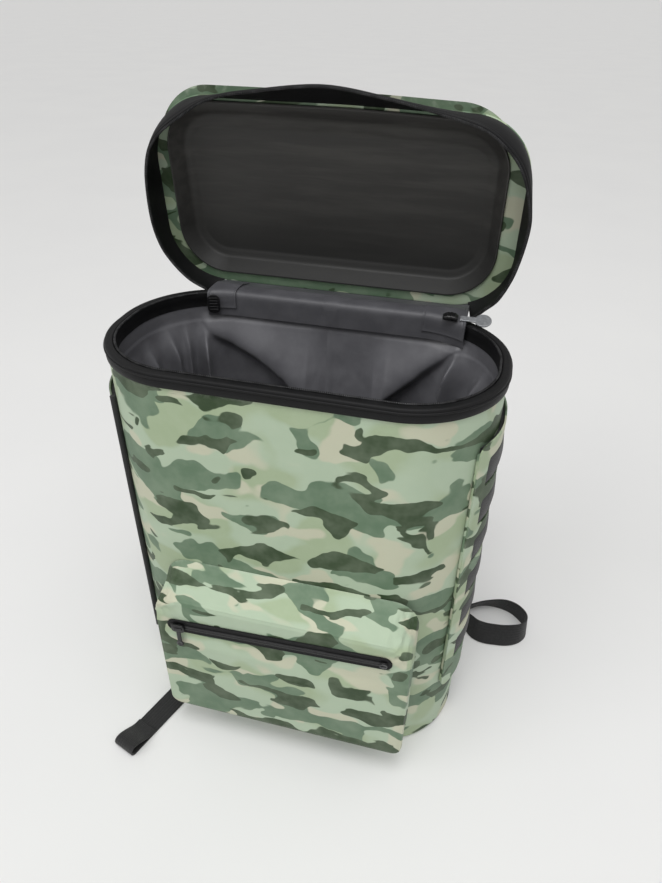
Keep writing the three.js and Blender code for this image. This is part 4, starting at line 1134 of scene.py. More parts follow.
# Stations along the band from the right of the hinge, over the top, to its left
def bandStations():
    found = []
    for x, y, nx, ny, run in lidRows:
        rootX = lid["shiftX"] + x - nx * band["inset"]
        rootY = lidMiddle + y - ny * band["inset"]
        fx, fy = freePlace(rootX, rootY)
        low = hinge["left"] - 0.5
        if fy < band["centre"][1] - 40 and low < fx < hinge["right"] - 1:
            continue
        if rootY < lidPlane["bottomRise"] + 30 and low < rootX < hinge["right"] - 4:
            continue
        found.append({"root": (rootX, rootY, seat), "free": (fx, fy, band["reach"]), "nx": nx, "ny": ny})
    return found


def makeLidBand():
    rings = []
    for s in bandStations():
        root, free = Vector(s["root"]), Vector(s["free"])
        out = Vector((s["nx"], s["ny"], 0))
        run = (free - root).normalized()
        side = run.cross(Vector((-s["ny"], s["nx"], 0))).normalized()
        if side.dot(out) < 0:
            side = -side
        ring = []
        for t in steps(9)[:-1]:
            ring.append(root.lerp(free, t) + out * band["belly"] * math.sin(math.pi * t))
        for angle in (-60, -20, 20, 60, 100, 140):
            a = math.radians(angle)
            heart = free - run * band["bead"]
            ring.append(heart - side * 0.5 * band["thick"] + side * band["bead"] * math.cos(a)
                        + run * band["bead"] * math.sin(a))
        for t in reversed(steps(9)[:-1]):
            ring.append(root.lerp(free, t)
                        + out * (band["belly"] * math.sin(math.pi * t)) - side * band["thick"])
        rings.append([toWorld(p) for p in ring])
    makePiece("lidBand", loft(rings), shades["tape"], replaces=["lid_band"], sharp=60)


def makeLidTeeth():
    rows = []
    for s in bandStations():
        base = Vector(s["free"]) + Vector((-s["nx"], -s["ny"], 0)) * (band["thick"]
                                                            + 0.2) + Vector((0, 0, seat - 0.6))
        rows.append((tuple(base), (s["nx"], s["ny"], 0.0)))
    size = (teeth["long"], teeth["wide"], teeth["high"])
    parts = []
    for place, along, out in evenly(rows, teeth["pitch"]):
        corners, faces, cloth = toothPart(place, along, out, (0, 0, 1), size)
        parts.append(([toWorld(p) for p in corners], faces, cloth))
    half = teeth["wide"] / 2
    section = [(half, -0.5), (half, 0.4), (-half, 0.4), (-half, -0.5)]
    foot = loft([[toWorld((p[0] + n[0] * o, p[1] + n[1] * o, p[2] + z)) for o, z in section] for p,
                 n in rows])
    makePiece("lidTeeth", joined([foot] + parts), shades["teeth"], replaces=["lid_zip_teeth"])


makeLidShell()
makeTray()
makeLidBand()
makeLidTeeth()
print("lid ready")


# Plates and small hardware
def placedPart(part, move):
    points, faces, cloth = part
    return [tuple(move @ Vector(p)) for p in points], faces, cloth


def platePart(width, height, radius, thick, edge=0.5, dome=0.0, count=72):
    levels = softened([(-edge * 2, 0), (0, 0), (0, thick), (-edge * 2, thick)], edge, 3)
    inner = min(width, height) / 2 * 0.9
    levels = [(-inner, 0)] + levels + [(-inner * 0.5, thick + dome * 0.7), (-inner, thick + dome)]
    rings = [[(x, y, z) for x, y, nx, ny, run in drawnIn(width, height, [radius] * 4, -o, count)] for o,
             z in levels]
    return loft(rings)


def barPart(start, end, radius, sides=12):
    a, b = Vector(start), Vector(end)
    along = (b - a).normalized()
    side = along.orthogonal().normalized()
    other = along.cross(side)
    rings = []
    for t, grow in ((0, 0.6), (0.08, 1), (0.92, 1), (1, 0.6)):
        middle = a.lerp(b, t)
        rings.append([tuple(middle + (side * math.cos(k) + other * math.sin(k)) * radius * grow)
                      for k in [2 * math.pi * i / sides for i in range(sides)]])
    return loft(rings)


slider = {
    "x": 120, "length": 15, "width": 11, "height": 6, "offset": -10, "ribs": 4,
    "pullLength": 27, "pullHead": 15, "pullNeck": 6, "pullThick": 1.6, "pullRise": 1.2,
    "pullLean": 20,
}


def lidHardwareMove():
    turn = math.asin((slider["x"] - backStraight) / bag["corner"])
    z = bag["height"] + hinge["rise"] + hinge["thick"] + 2 * seat
    return Matrix.Translation((slider["x"] + slider["offset"] * math.sin(turn),
                               backFaceY(slider["x"], slider["offset"]), z))


def makeLidSlider():
    half = slider["length"] / 2
    rings = []
    for t in steps(44):
        x = share(-half, half - 1.5, t)
        swell = 1 - 0.30 * (2 * t - 1) ** 4 - 0.1 * (1 - t) ** 2
        rib = 0.35 * max(0.0, math.sin(2 * math.pi * slider["ribs"] * t)) if 0.15 < t < 0.85 else 0.0
        high = (slider["height"] - 0.4) * (0.62
                                           + 0.38 * math.sin(math.pi * min(max(t, 0.02), 0.98)) ** 0.6) + rib
        wide = slider["width"] / 2 * swell
        ring = []
        for k in range(28):
            a = 2 * math.pi * k / 28
            c, s = math.cos(a), math.sin(a)
            y = wide * math.copysign(abs(c) ** 0.6, c)
            z = high / 2 + high / 2 * math.copysign(abs(s) ** 0.6, s)
            ring.append((x, y, z))
        rings.append(ring)
    makePiece("lidSlider", placedPart(loft(rings), lidHardwareMove()), shades["plastic"],
              replaces=["lid_slider"], sharp=50)


# Flat pull with a narrow neck and a round head, along x from its pin
def pullPart(length, head, neck, thick, hole=0.0):
    headX = length - head / 2
    lean = math.asin(neck / head)
    outline = [(0.0, -neck / 2)]
    outline += [(share(0, headX - head / 2 * math.cos(lean), t), -neck / 2) for t in (0.35, 0.7, 0.92)]
    for i in range(41):
        a = math.pi + lean + (2 * math.pi - 2 * lean) * i / 40
        outline.append((headX + head / 2 * math.cos(a), head / 2 * math.sin(a)))
    outline += [(share(0, headX - head / 2 * math.cos(lean), t), neck / 2) for t in (0.92, 0.7, 0.35)]
    outline.append((0.0, neck / 2))
    count = len(outline)
    normals = []
    for i in range(count):
        ax, ay = outline[i - 1]
        bx, by = outline[(i + 1) % count]
        reach = math.hypot(bx - ax, by - ay) or 1
        normals.append(((by - ay) / reach, -(bx - ax) / reach))
    edge = thick * 0.3
    levels = [(-edge * 2.2, -thick / 2), (-edge, -thick / 2), (-edge * 0.3, -thick / 2 + edge * 0.3),
              (0, -thick / 2 + edge),
              (0, thick / 2 - edge), (-edge * 0.3, thick / 2 - edge * 0.3), (-edge, thick / 2), (-edge * 2.2, thick / 2)]
    rings = [[(x + n[0] * o, y + n[1] * o, z) for (x, y), n in zip(outline, normals)] for o, z in levels]
    parts = [loft(rings), barPart((0, -neck / 2, 0), (0, neck / 2, 0), thick / 2)]
    if hole:
        rows, _ = roundedPath(head * 0.62, head * 0.62, [head * 0.31] * 4, 40)
        eyelet = [(-0.3, thick / 2 - 0.05), (0.1, thick / 2 + hole), (0.6, thick / 2 + hole),
                  (1.0, thick / 2 - 0.05)]
        parts.append(loft([[(headX + x + nx * o, y + ny * o, z) for x, y, nx, ny, run in rows] for o,
                           z in eyelet], around=True))
    return joined(parts)


def makeLidPull():
    shift = (slider["length"] / 2 + seat + slider["pullThick"] / 2, 0,
             slider["pullRise"] + slider["pullThick"] / 2)
    move = lidHardwareMove() @ Matrix.Translation(shift) @ Matrix.Rotation(math.radians(slider["pullLean"]),
                                                            4, "X")
    part = pullPart(slider["pullLength"], slider["pullHead"], slider["pullNeck"], slider["pullThick"])
    makePiece("lidPull", placedPart(part, move), shades["pullMetal"], "lid_pull_body",
              ["lid_pull"], sharp=50)


zipEnd = {"width": 12, "length": 19, "thick": 2.2, "inset": 6, "ribs": 5}


def makeZipEnd():
    x = hinge["left"] + zipEnd["inset"]
    offset = hinge["flapOffset"] - hinge["thick"] - hinge["patchThick"] - 3 * seat
    turn = math.asin((-x - backStraight) / bag["corner"])
    move = Matrix.Translation((x, backFaceY(x, offset), bag["height"] - zipEnd["length"] / 2))
    move = move @ Matrix.Rotation(turn, 4, "Z") @ Matrix.Rotation(math.pi / 2, 4, "X")
    parts = [platePart(zipEnd["width"], zipEnd["length"], zipEnd["width"] / 2 - 0.5, zipEnd["thick"] - 0.5,
                       0.5)]
    for i in range(zipEnd["ribs"]):
        y = share(-zipEnd["length"] * 0.3, zipEnd["length"] * 0.3, i / (zipEnd["ribs"] - 1))
        rib = platePart(zipEnd["width"] * 0.7, 1.8, 0.8, 0.8, 0.3, count=24)
        parts.append(placedPart(rib, Matrix.Translation((0, y, zipEnd["thick"] - 0.8))))
    makePiece("zipEndLeft", placedPart(joined(parts), move), shades["plastic"],
              replaces=["zip_end_left"])


makeLidSlider()
makeLidPull()
makeZipEnd()
print("lid hardware ready")


# Front pocket: a soft box with crisp welded edges and pinched upper corners
pocket = {
    "width": 242, "shiftX": 9, "bottom": 46, "top": 224, "depth": 35, "topRadius": 24, "footRadius": 11, "wall": 2.4,
    "slope": 20, "edge": 5.5, "puff": 2.2, "crease": 1.4, "seam": 0.9, "pinch": 7, "count": 420,
}
pocketBack = -(bag["depth"] / 2 + bag["frontBulge"] + seat)
pocketMiddle = (pocket["bottom"] + pocket["top"]) / 2
pocketRadii = [pocket["footRadius"], pocket["topRadius"], pocket["topRadius"], pocket["footRadius"]]
pocketRows, pocketAround = roundedPath(
    pocket["width"], pocket["top"] - pocket["bottom"], pocketRadii, pocket["count"])


def pocketPoint(x, y, reach):
    half = (pocket["top"] - pocket["bottom"]) / 2
    upper = max(0.0, y / half)
    z = pocketMiddle + y - pocket["slope"] * upper * reach / pocket["depth"]
    return (pocket["shiftX"] + x, pocketBack - reach, z)


def zipHeight(x):
    return pocket["bottom"] + pocketZip["rise"] + math.tan(math.radians(pocketZip["tilt"])) * -(x
                                                            + pocket["shiftX"] - pocketZip["shiftX"])


def makePocket():
    half = (pocket["top"] - pocket["bottom"]) / 2
    edge = pocket["edge"]
    rings = []

    def ring(inset, reach, soft=0.0, ripple=0.0):
        found = []
        for px, py, nx, ny, run in drawnIn(pocket["width"], 2 * half, pocketRadii, inset, pocket["count"]):
            away = abs(pocketMiddle + py - zipHeight(px))
            flat = smooth(away, 9, 30)
            wave = ripple * flat * wander(px / 46, py / 40, 0, 6.6) + pocket["puff"] * flat * smooth(inset,
                                                            edge, 60)
            corner = math.exp(-(((abs(px) - pocket["width"] / 2) / 22) ** 2 + ((py - half) / 26) ** 2))
            pinch = pocket["pinch"] * corner * abs(wander(px / 7, py / 13, reach / 16, 3.9)) * smooth(reach,
                                                            0, 6)
            px, py = px - nx * pinch, py - ny * pinch
            wave -= pinch * 0.8
            side = -soft * (0.5 + 0.5 * wander(run / 37, reach / 20, 0, 8.8)) * (1 - abs(ny) ** 6 * 0.5)
            px += nx * side
            py += ny * side
            found.append(pocketPoint(px, py, reach + wave - soft * corner))
        return found

    sideReach = pocket["depth"] - edge
    for t in steps(10):
        rings.append(ring(0, sideReach * t, soft=pocket["crease"] * math.sin(math.pi * t)))
    for turn in (12, 24, 34, 40, 45, 50, 56, 66, 78, 90):
        a = math.radians(turn)
        bend = edge + pocket["seam"] * math.exp(-((turn - 45) / 7) ** 2)
        rings.append(ring(edge - bend * math.cos(a), sideReach + bend * math.sin(a), soft=0.001))
    for inset in (1, 2, 4, 6, 9, 12, 15, 18, 22, 26, 30, 34, 39, 44, 49, 54, 60, 66, 72, 78):
        grow = smooth(inset, 0, 60)
        rings.append(ring(edge + inset, pocket["depth"], ripple=0.9 * grow))
    inner = [ring(edge + pocket["wall"] + 60, pocket["depth"] - pocket["wall"]),
             ring(edge + pocket["wall"], pocket["depth"] - pocket["wall"]),
             ring(pocket["wall"], sideReach - pocket["wall"]), ring(pocket["wall"], 0)]
    rings = inner + rings
    runs = [row[4] for row in pocketRows] + [pocketAround]
    points, faces, cloth = loft(rings, runs=runs)
    # The print lies flat over the face and goes on round the sides
    flat = [(p[0], p[2]) for p in points]
    spread = []
    for face in faces:
        spread.append(tuple((flat[k][0] + (points[k][1] - pocketBack) * 0.35,
                             flat[k][1] + (points[k][1] - pocketBack)) for k in face))
    makePiece("frontPocket", (points, faces, spread), shades["camoPocket"],
              replaces=["front_pocket"], sharp=50)


pocketZip = {
    "length": 213, "height": 15.4, "thick": 1.2, "shiftX": 7, "rise": 133, "tilt": 2.9, "cover": 5, "coverProud": 0.8,
    "sliderLength": 13, "sliderHeight": 9, "sliderProud": 3.4, "inset": 12, "pullLength": 19, "pullWidth": 7,
    "pullNeck": 4, "pullThick": 1.8, "stopLength": 7, "stopHeight": 8, "stopGap": 4,
}


def pocketFaceMove():
    place = Matrix.Translation((pocketZip["shiftX"], pocketBack - pocket["depth"] - seat,
                                pocket["bottom"] + pocketZip["rise"]))
    return place @ Matrix.Rotation(math.pi / 2, 4, "X")


def makePocketZip():
    line = pocketFaceMove() @ Matrix.Rotation(math.radians(pocketZip["tilt"]), 4, "Z")
    surface = pocketZip["thick"] + seat
    tape = platePart(pocketZip["length"], pocketZip["height"], pocketZip["height"] / 2, pocketZip["thick"],
                     0.5, 0.1, 240)
    welt = []
    rows, _ = roundedPath(pocketZip["length"] - 2.4, pocketZip["height"] - 2.4,
                          [pocketZip["height"] / 2 - 1.2] * 4, 240)
    for o, z in ((-0.45, -0.1), (-0.3, 0.28), (0.3, 0.28), (0.45, -0.1)):
        welt.append(ringAt(rows, o, pocketZip["thick"] + z))
    makePiece("pocketZip", placedPart(joined([tape, loft(welt, around=True)]), line), shades["tape"],
              replaces=["pocket_zip"])
    half = pocketZip["length"] / 2 - 4
    lips = []
    for side in (-1, 1):
        rings = []
        for t in steps(60):
            x = share(-half, half, t)
            c = side * (pocketZip["cover"] / 4 + 0.04)
            w = pocketZip["cover"] / 4 - 0.04
            rings.append([(x, c - w, 0), (x, c + w, 0), (x, c + w, 0.4),
                          (x, c + w * 0.4, pocketZip["coverProud"]),
                          (x, c - w * 0.4, pocketZip["coverProud"]), (x, c - w, 0.4)])
        lips.append(loft(rings))
    cover = placedPart(joined(lips), line @ Matrix.Translation((0, 0, surface)))
    makePiece("pocketTeeth", cover, shades["teeth"], replaces=["pocket_zip_teeth"])
    top = surface + pocketZip["coverProud"] + seat
    x = pocketZip["inset"] - pocketZip["length"] / 2
    body = platePart(pocketZip["sliderLength"], pocketZip["sliderHeight"], 3.2,
                     pocketZip["sliderProud"] - 1.1, 0.7, 0.3)
    bridge = placedPart(platePart(8.5, 3.4, 1.4, 1.1, 0.4, count=40),
                        Matrix.Translation((0.6, 0, pocketZip["sliderProud"] - 1.1)))
    makePiece("pocketSlider", placedPart(joined([body, bridge]), line @ Matrix.Translation((x, 0, top))),
              shades["plastic"],
              replaces=["pocket_slider"])
    stopX = pocketZip["length"] / 2 - pocketZip["stopLength"] / 2 - pocketZip["stopGap"]
    rows, _ = roundedPath(pocketZip["stopLength"] - 1, pocketZip["stopHeight"] - 4, [1.9] * 4, 48)
    loop = [ringAt(rows, o, z) for o, z in ((-0.7, 0), (-0.5, 0.9), (0.5, 0.9), (0.7, 0))]
    plateLow = platePart(pocketZip["stopLength"], pocketZip["stopHeight"], 3, 0.6, 0.25, count=48)
    stop = joined([plateLow, placedPart(loft(loop, around=True), Matrix.Translation((0, 0, 0.55)))])
    makePiece("pocketStop", placedPart(stop, line @ Matrix.Translation((stopX, 0, top))), shades["plastic"],
              replaces=["pocket_zip_stop"])
    tilt = math.radians(pocketZip["tilt"])
    drop = pocketZip["sliderHeight"] / 2 + seat + pocketZip["pullThick"] / 2
    move = pocketFaceMove() @ Matrix.Translation(
        (x * math.cos(tilt), x * math.sin(tilt) - drop, top + seat + pocketZip["pullThick"] / 2))
    pull = pullPart(pocketZip["pullLength"], pocketZip["pullWidth"], pocketZip["pullNeck"],
                    pocketZip["pullThick"], 0.35)
    makePiece("pocketPull", placedPart(pull, move @ Matrix.Rotation(-math.pi / 2, 4, "Z")),
              shades["plastic"],
              "pocket_pull_body", ["pocket_pull"], sharp=50)


makePocket()
makePocketZip()
print("pocket ready")


# Side panels on the half-round ends: a sheet with six windows over a dark backing
side = {
    "frontArc": 76, "bottom": 74, "top": 376, "thick": 1.4, "backing": 2.8, "margin": 13, "count": 6, "high": 30,
    "pitch": 44, "topDrop": 16, "corner": 3.5, "outer": 9, "clear": 0.5, "swell": 1.6, "seatRight": 4, "seatLeft": 0.5,
    "rollWide": 1.9, "rollHigh": 5.4,
}
quarterArc = math.pi / 2 * bag["corner"]
sideFlat = bag["depth"] - 2 * bag["corner"]
endArc = 2 * quarterArc + sideFlat


def endPlace(arc, offset, z, way):
    onFlat = min(max(arc - quarterArc, 0.0), sideFlat)
    angle = (arc - onFlat) / bag["corner"]
    radius = bag["corner"] + offset
    x = backStraight + radius * math.sin(angle)
    y = bag["corner"] - bag["depth"] / 2 + onFlat - radius * math.cos(angle)
    return (way * x, y, z), (way * math.sin(angle), -math.cos(angle), 0.0)


def lines(marks, pitch):
    found = [marks[0]]
    for a, b in zip(marks, marks[1:]):
        count = max(1, round((b - a) / pitch))
        found += [share(a, b, i / count) for i in range(1, count + 1)]
    return found


# Moves a place in a corner's square onto a round corner
def roundedIn(u, v, cornerU, cornerV, towardU, towardV, radius):
    cu, cv = cornerU - towardU * radius, cornerV - towardV * radius
    a, b = (u - cu) * towardU / radius, (v - cv) * towardV / radius
    if not (-1e-6 <= a <= 1 + 1e-6 and -1e-6 <= b <= 1 + 1e-6):
        return u, v
    return (cu + towardU * radius * a * math.sqrt(max(1 - b * b / 2, 0)),
            cv + towardV * radius * b * math.sqrt(max(1 - a * a / 2, 0)))


def windowSpans():
    return [(side["top"] - side["topDrop"] - i * side["pitch"] - side["high"],
             side["top"] - side["topDrop"] - i * side["pitch"])
            for i in range(side["count"])]


def makeSidePanel(name, way, node):
    a0, a1 = side["frontArc"], endArc - side["frontArc"]
    w0, w1 = a0 + side["margin"], a1 - side["margin"]
    inside, outside = side["corner"], side["outer"]
    arcs = lines([a0, a0 + outside, w0, w0 + inside, w1 - inside, w1, a1 - outside, a1], 2.0)
    marks = [side["bottom"], side["bottom"] + outside]
    for low, high in reversed(windowSpans()):
        marks += [low, low + inside, high - inside, high]
    marks += [side["top"] - outside, side["top"]]
    zs = lines(sorted(set(marks)), 2.5)
    offset = side["backing"] + 2 * seat + side["thick"]
    grid, out, cloth = [], [], []
    for z in zs:
        row, dirs = [], []
        for arc in arcs:
            a, h = arc, z
            for cu, tu in ((a0, -1), (a1, 1)):
                for cv, tv in ((side["bottom"], -1), (side["top"], 1)):
                    a, h = roundedIn(a, h, cu, cv, tu, tv, outside)
            for low, high in windowSpans():
                onEdge = abs(arc - w0) < 1e-6 or abs(arc - w1) < 1e-6 or abs(z - low) < 1e-6 or abs(z - high) < 1e-6
                if onEdge and w0 - 1e-6 <= arc <= w1 + 1e-6 and low - 1e-6 <= z <= high + 1e-6:
                    for cu, tu in ((w0, -1), (w1, 1)):
                        for cv, tv in ((low, -1), (high, 1)):
                            a, h = roundedIn(a, h, cu, cv, tu, tv, inside)
            near = min(arc - a0, a1 - arc, z - side["bottom"], side["top"] - z)
            press = -0.35 * math.exp(-((near - 5.0) / 1.0) ** 2)
            droop = 0.25 * wander(arc / 22, z / 20, way, 7.7) * smooth(near, 3, 12)
            point, normal = endPlace(a, offset + press + droop, h, way)
            row.append(point)
            dirs.append(normal)
            cloth.append((way * (bag["width"] / 2 + a) + 400, h))
        grid.append(row)
        out.append(dirs)

    def keep(i, j):
        z = (zs[i] + zs[i + 1]) / 2
        arc = (arcs[j] + arcs[j + 1]) / 2
        return not (w0 < arc < w1 and any(low < z < high for low, high in windowSpans()))

    parts = [sheetPart(grid, out, side["thick"], keep, cloth)]
    if way > 0:
        parts.append(weltPart(a0, a0 + side["seatRight"] - seat, way))
    makePiece(name, joined(parts), shades["camoSide"], replaces=[node], sharp=50)


# Welded edge that brings the sheet down to the bag
def weltPart(fromArc, toArc, way):
    rings = []
    outer = side["backing"] + 2 * seat + side["thick"] - 0.4
    for z in lines([side["bottom"] + side["outer"], side["top"] - side["outer"]], 6):
        section = softened([(fromArc + 3.4, seat), (fromArc, seat), (fromArc + 0.2, outer), (toArc, outer),
                            (toArc, seat)], 1.5, 3)
        rings.append([endPlace(a, o, z, way)[0] for a, o in section])
    return loft(rings)


# Black roll along the left sheet's front edge, which is all that the photo shows of that side
def edgeRoll(way):
    rings = []
    wide, high = side["rollWide"], side["rollHigh"]
    for z in lines([side["bottom"] + 3, side["top"] - 3], 6):
        ring = []
        for k in range(14):
            a = 2 * math.pi * k / 14
            ring.append(endPlace(side["frontArc"] - wide + wide * math.cos(a) * 0.9,
                                 seat + high / 2 + high / 2 * math.sin(a), z, way)[0])
        rings.append(ring)
    return loft(rings)


def makeSideBacking(name, way, node):
    margin = side["seatRight"] if way > 0 else side["seatLeft"]
    a0, a1 = side["frontArc"] + margin, endArc - side["frontArc"] - margin
    w0 = side["frontArc"] + side["margin"] + side["clear"]
    w1 = endArc - side["frontArc"] - side["margin"] - side["clear"]
    low, high = side["bottom"] + 4, side["top"] - 4
    arcs = lines([a0, w0, w1, a1], 2.0)
    marks = [low] + [m for a, b in reversed(windowSpans())
                     for m in (a + side["clear"], b - side["clear"])] + [high]
    zs = lines(sorted(set(marks)), 2.0)
    grid, cloth = [], []
    for z in zs:
        row = []
        for arc in arcs:
            rise = 0.0
            for a, b in windowSpans():
                if a < z < b and w0 < arc < w1:
                    across = math.sin(math.pi * (arc - w0) / (w1 - w0))
                    up = math.sin(math.pi * (z - a - side["clear"]) / (b - a - 2 * side["clear"]))
                    lens = max(0.0, up) ** 0.45 * max(0.0, across) ** 0.55
                    rise = (seat + side["thick"] + side["swell"]) * lens + 0.4 * wander(arc / 9, z / 8, way,
                                                            9.9) * lens
            row.append(endPlace(arc, seat + side["backing"] + rise, z, way)[0])
            cloth.append((arc, z))
        grid.append(row)
    rows, columns = len(grid), len(grid[0])
    seatGrid = [[endPlace(arc, seat, z, way)[0] for arc in arcs] for z in zs]
    top = [p for row in grid for p in row]
    under = [p for row in seatGrid for p in row]
    size = len(top)
    faces, spots = [], []
    for i in range(rows - 1):
        for j in range(columns - 1):
            cell = (i * columns + j, i * columns + j + 1, (i + 1) * columns + j + 1, (i + 1) * columns + j)
            faces += [cell, tuple(k + size for k in reversed(cell))]
            spots += [tuple(cloth[k] for k in cell), tuple(cloth[k] for k in reversed(cell))]
    outline = [j for j in range(columns)] + [i * columns + columns - 1 for i in range(1, rows)]
    outline += [(rows - 1) * columns + j for j in range(columns - 2, -1, -1)] + [i * columns
                                                            for i in range(rows - 2, 0, -1)]
    for a, b in zip(outline, outline[1:] + outline[:1]):
        faces.append((b, a, a + size, b + size))
        spots.append((cloth[b], cloth[a], cloth[a], cloth[b]))
    whole = (top + under, faces, spots)
    if way < 0:
        whole = joined([whole, edgeRoll(way)])
    makePiece(name, whole, shades["backing"], replaces=[node], sharp=50)


for word, way in (("Right", 1), ("Left", -1)):
    makeSideBacking("sideBacking" + word, way, "side_backing_" + word.lower())
    makeSidePanel("sidePanel" + word, way, "side_panel_" + word.lower())
print("side panels ready")


# Straps: a section swept along rows of place, width direction and width
def strapPart(stops, thick, roundness=0.5, crown=0.0, cutsAcross=10, level=False):
    rings = []
    for i, (place, across, width) in enumerate(stops):
        before, after = stops[max(i - 1, 0)][0], stops[min(i + 1, len(stops) - 1)][0]
        along = (after - before).normalized()
        wide = across.copy()
        if not level:
            wide = wide - along * wide.dot(along)
        wide.normalize()
        face = along.cross(wide).normalized()
        half = width / 2
        edge = min(thick / 2, half) * 0.98
        ring = []
        for k in range(cutsAcross + 1):
            u = share(-1, 1, k / cutsAcross)
            lift = thick / 2 + crown * (1 - u * u)
            ring.append(place + wide * u * (half - edge * roundness) - face * lift)
        for angle in (-60, -30, 0, 30, 60):
            a = math.radians(angle)
            ring.append(place + wide * (half - edge * roundness + edge * roundness * math.cos(a))
                        + face * thick / 2 * math.sin(a))
        for k in range(cutsAcross + 1):
            u = share(1, -1, k / cutsAcross)
            lift = thick / 2 + crown * (1 - u * u)
            ring.append(place + wide * u * (half - edge * roundness) + face * lift)
        for angle in (120, 150, 180, 210, 240):
            a = math.radians(angle)
            ring.append(place + wide * (-(half - edge * roundness) + edge * roundness * math.cos(a))
                        + face * thick / 2 * math.sin(a))
        rings.append([tuple(p) for p in ring])
    return loft(rings)


web = {"width": 25, "thick": 1.6}
loose = {
    "tailFold": 34,
    "tailBend": 5.2,
    "tailDrop": [(-66, 121.4, 133), (-66, 122, 112), (-65, 123, 60), (-63, 121, 22), (-61, 115, 6)],
    # x, y, z (None on the ground), lean of the width, share of the width that lies across the back
    "loop": [
        (66, 121.4, 133, 0, 1), (66, 123, 112, 0, 1), (78, 128, 76, 10, 1), (104, 129, 42, 30, 0.6),
        (134, 121, 19, 50, 0.2), (158, 113, None, 62, 0), (174, 112, None, 66, 0), (184, 117, None, 66, 0),
        (195, 125.5, None, 62, 0), (208, 130.4, None, 64, 0), (223, 131.4, None, 74, 0), (234, 129, None, 80,
                                                            0),
        (243, 123.5, None, 85, 0), (250.5, 115, None, 87, 0), (253.4, 105.5, None, 86, 0), (251.5, 97, None,
                                                            80, 0),
        (246.2, 90.5, None, 72, 0), (238, 86, None, 60, 0), (228, 83.2, None, 51, 0), (216, 82, None, 47,
                                                            0),
        (206, 81.5, None, 46, 0), (197, 82, None, 54, 0), (190, 84.5, None, 66, 0), (182, 91, None, 76, 0),
        (171, 96.5, None, 80, 0), (154, 99, None, 80, 0),
    ],
    "cuts": 5,
}


def makeStrapLoop():
    rows = []
    for x, y, z, tilt, hang in loose["loop"]:
        lean = math.radians(tilt)
        ground = web["width"] / 2 * math.sin(lean) + web["thick"] / 2 * math.cos(lean) + seat / 2
        rows.append((x, y, ground if z is None else z, tilt, hang))
    dense = throughRows(rows, loose["cuts"])
    stops = []
    for i, (x, y, z, tilt, hang) in enumerate(dense):
        a, b = dense[max(i - 2, 0)], dense[min(i + 2, len(dense) - 1)]
        heading = Vector((b[0] - a[0], b[1] - a[1], 0)).normalized()
        lean = math.radians(tilt)
        standing = Vector((heading.y * math.cos(lean), -heading.x * math.cos(lean), math.sin(lean)))
        across = standing.lerp(Vector((1, 0, 0)), min(max(hang, 0), 1))
        stops.append((Vector((x, y, z)), across, web["width"]))
    makePiece("strapLoopRight", strapPart(stops, web["thick"]), shades["web"],
              replaces=["strap_loop_right"])


def makeStrapTail():
    start, end = Vector((*shell["tailStart"], 0.0)), Vector((*shell["tailEnd"], 0.0))
    run = end - start
    across = Vector((run.y, -run.x, 0)).normalized()
    lie = web["thick"] / 2
    rows = [(*p, -1.0, 0.0) for p in loose["tailDrop"]]
    drop = throughRows(rows, 5)
    stops = [(Vector(r[:3]), Vector((-1, 0, 0)), web["width"]) for r in drop]
    for t in [k / 40 for k in range(0, 41)]:
        place = start + run * (t * (1 - 4.2 / run.length)) + Vector((0, 0, lie))
        stops.append((place, across, web["width"]))
    parts = [strapPart(stops, web["thick"])]
    ahead = run.normalized()
    bend = loose["tailBend"]
    fold = []
    for turn in (-90, -65, -40, -15, 15, 40, 65, 90):
        angle = math.radians(turn)
        lift = lie + bend * (1 + math.sin(angle))
        fold.append((end + ahead * (bend * math.cos(angle) - bend - 0.9) + Vector((0, 0, lift)), across,
                     web["width"]))
    for t in steps(10)[1:]:
        lift = share(lie + 2 * bend, lie + web["thick"] + 0.2, smooth(t, 0, 0.85))
        fold.append((end - ahead * (bend + 0.9 + (loose["tailFold"] - bend) * t) + Vector((0, 0, lift)),
                     across, web["width"]))
    parts.append(strapPart(fold, web["thick"]))
    makePiece("strapTailLeft", joined(parts), shades["web"], replaces=["strap_tail_left"])


makeStrapLoop()
makeStrapTail()
print("loose webbing ready")


# Back: pad, shoulder straps, webbing and handle
backY = bag["depth"] / 2 + seat
pad = {"width": 210, "low": 34, "high": 402, "thick": 11, "corner": 36, "startThick": 6.5, "voxel": 5,
       "cap": 4.2, "pressure": 4.0,
       "grooveWide": 2.6, "grooveDeep": 2.4,
       "channels": [95, 158, 221, 284, 342]}
padFace = backY + pad["thick"]


def makeBackPad():
    middle = (pad["low"] + pad["high"]) / 2
    thick = pad["startThick"]
    profile = [(-96, 0.2), (-60, 0.2), (-20, 0.2), (0, 0.2), (0, thick), (-20, thick), (-60, thick),
               (-96, thick)]
    rings = []
    for o, z in softened(profile, 3, 3):
        rows = drawnIn(pad["width"] - 4, pad["high"] - pad["low"] - 4, [pad["corner"]] * 4, -o, 200)
        rings.append([(x, backY + z, middle + y) for x, y, nx, ny, run in rows])
    piece = makePiece("backPad", loft(rings), shades["pad"], replaces=["back_pad"])
    inflate(piece)
    work = bmesh.new()
    work.from_mesh(piece.data)
    for v in work.verts:
        z = v.co.z / mm
        groove = max(math.exp(-((z - c) / pad["grooveWide"]) ** 2) for c in pad["channels"])
        inside = smooth(pad["width"] / 2 - abs(v.co.x / mm), 3, 14)
        front = smooth(v.co.y / mm, backY + 3, backY + 6)
        v.co.y -= groove * inside * front * pad["grooveDeep"] * mm
        v.co.y = min(max(v.co.y, backY * mm), padFace * mm)
    layer = work.loops.layers.uv.get("cloth") or work.loops.layers.uv.new("cloth")
    for face in work.faces:
        for corner in face.loops:
            corner[layer].uv = (corner.vert.co.x, corner.vert.co.z)
    work.to_mesh(piece.data)
    work.free()
    piece.data.shade_smooth()


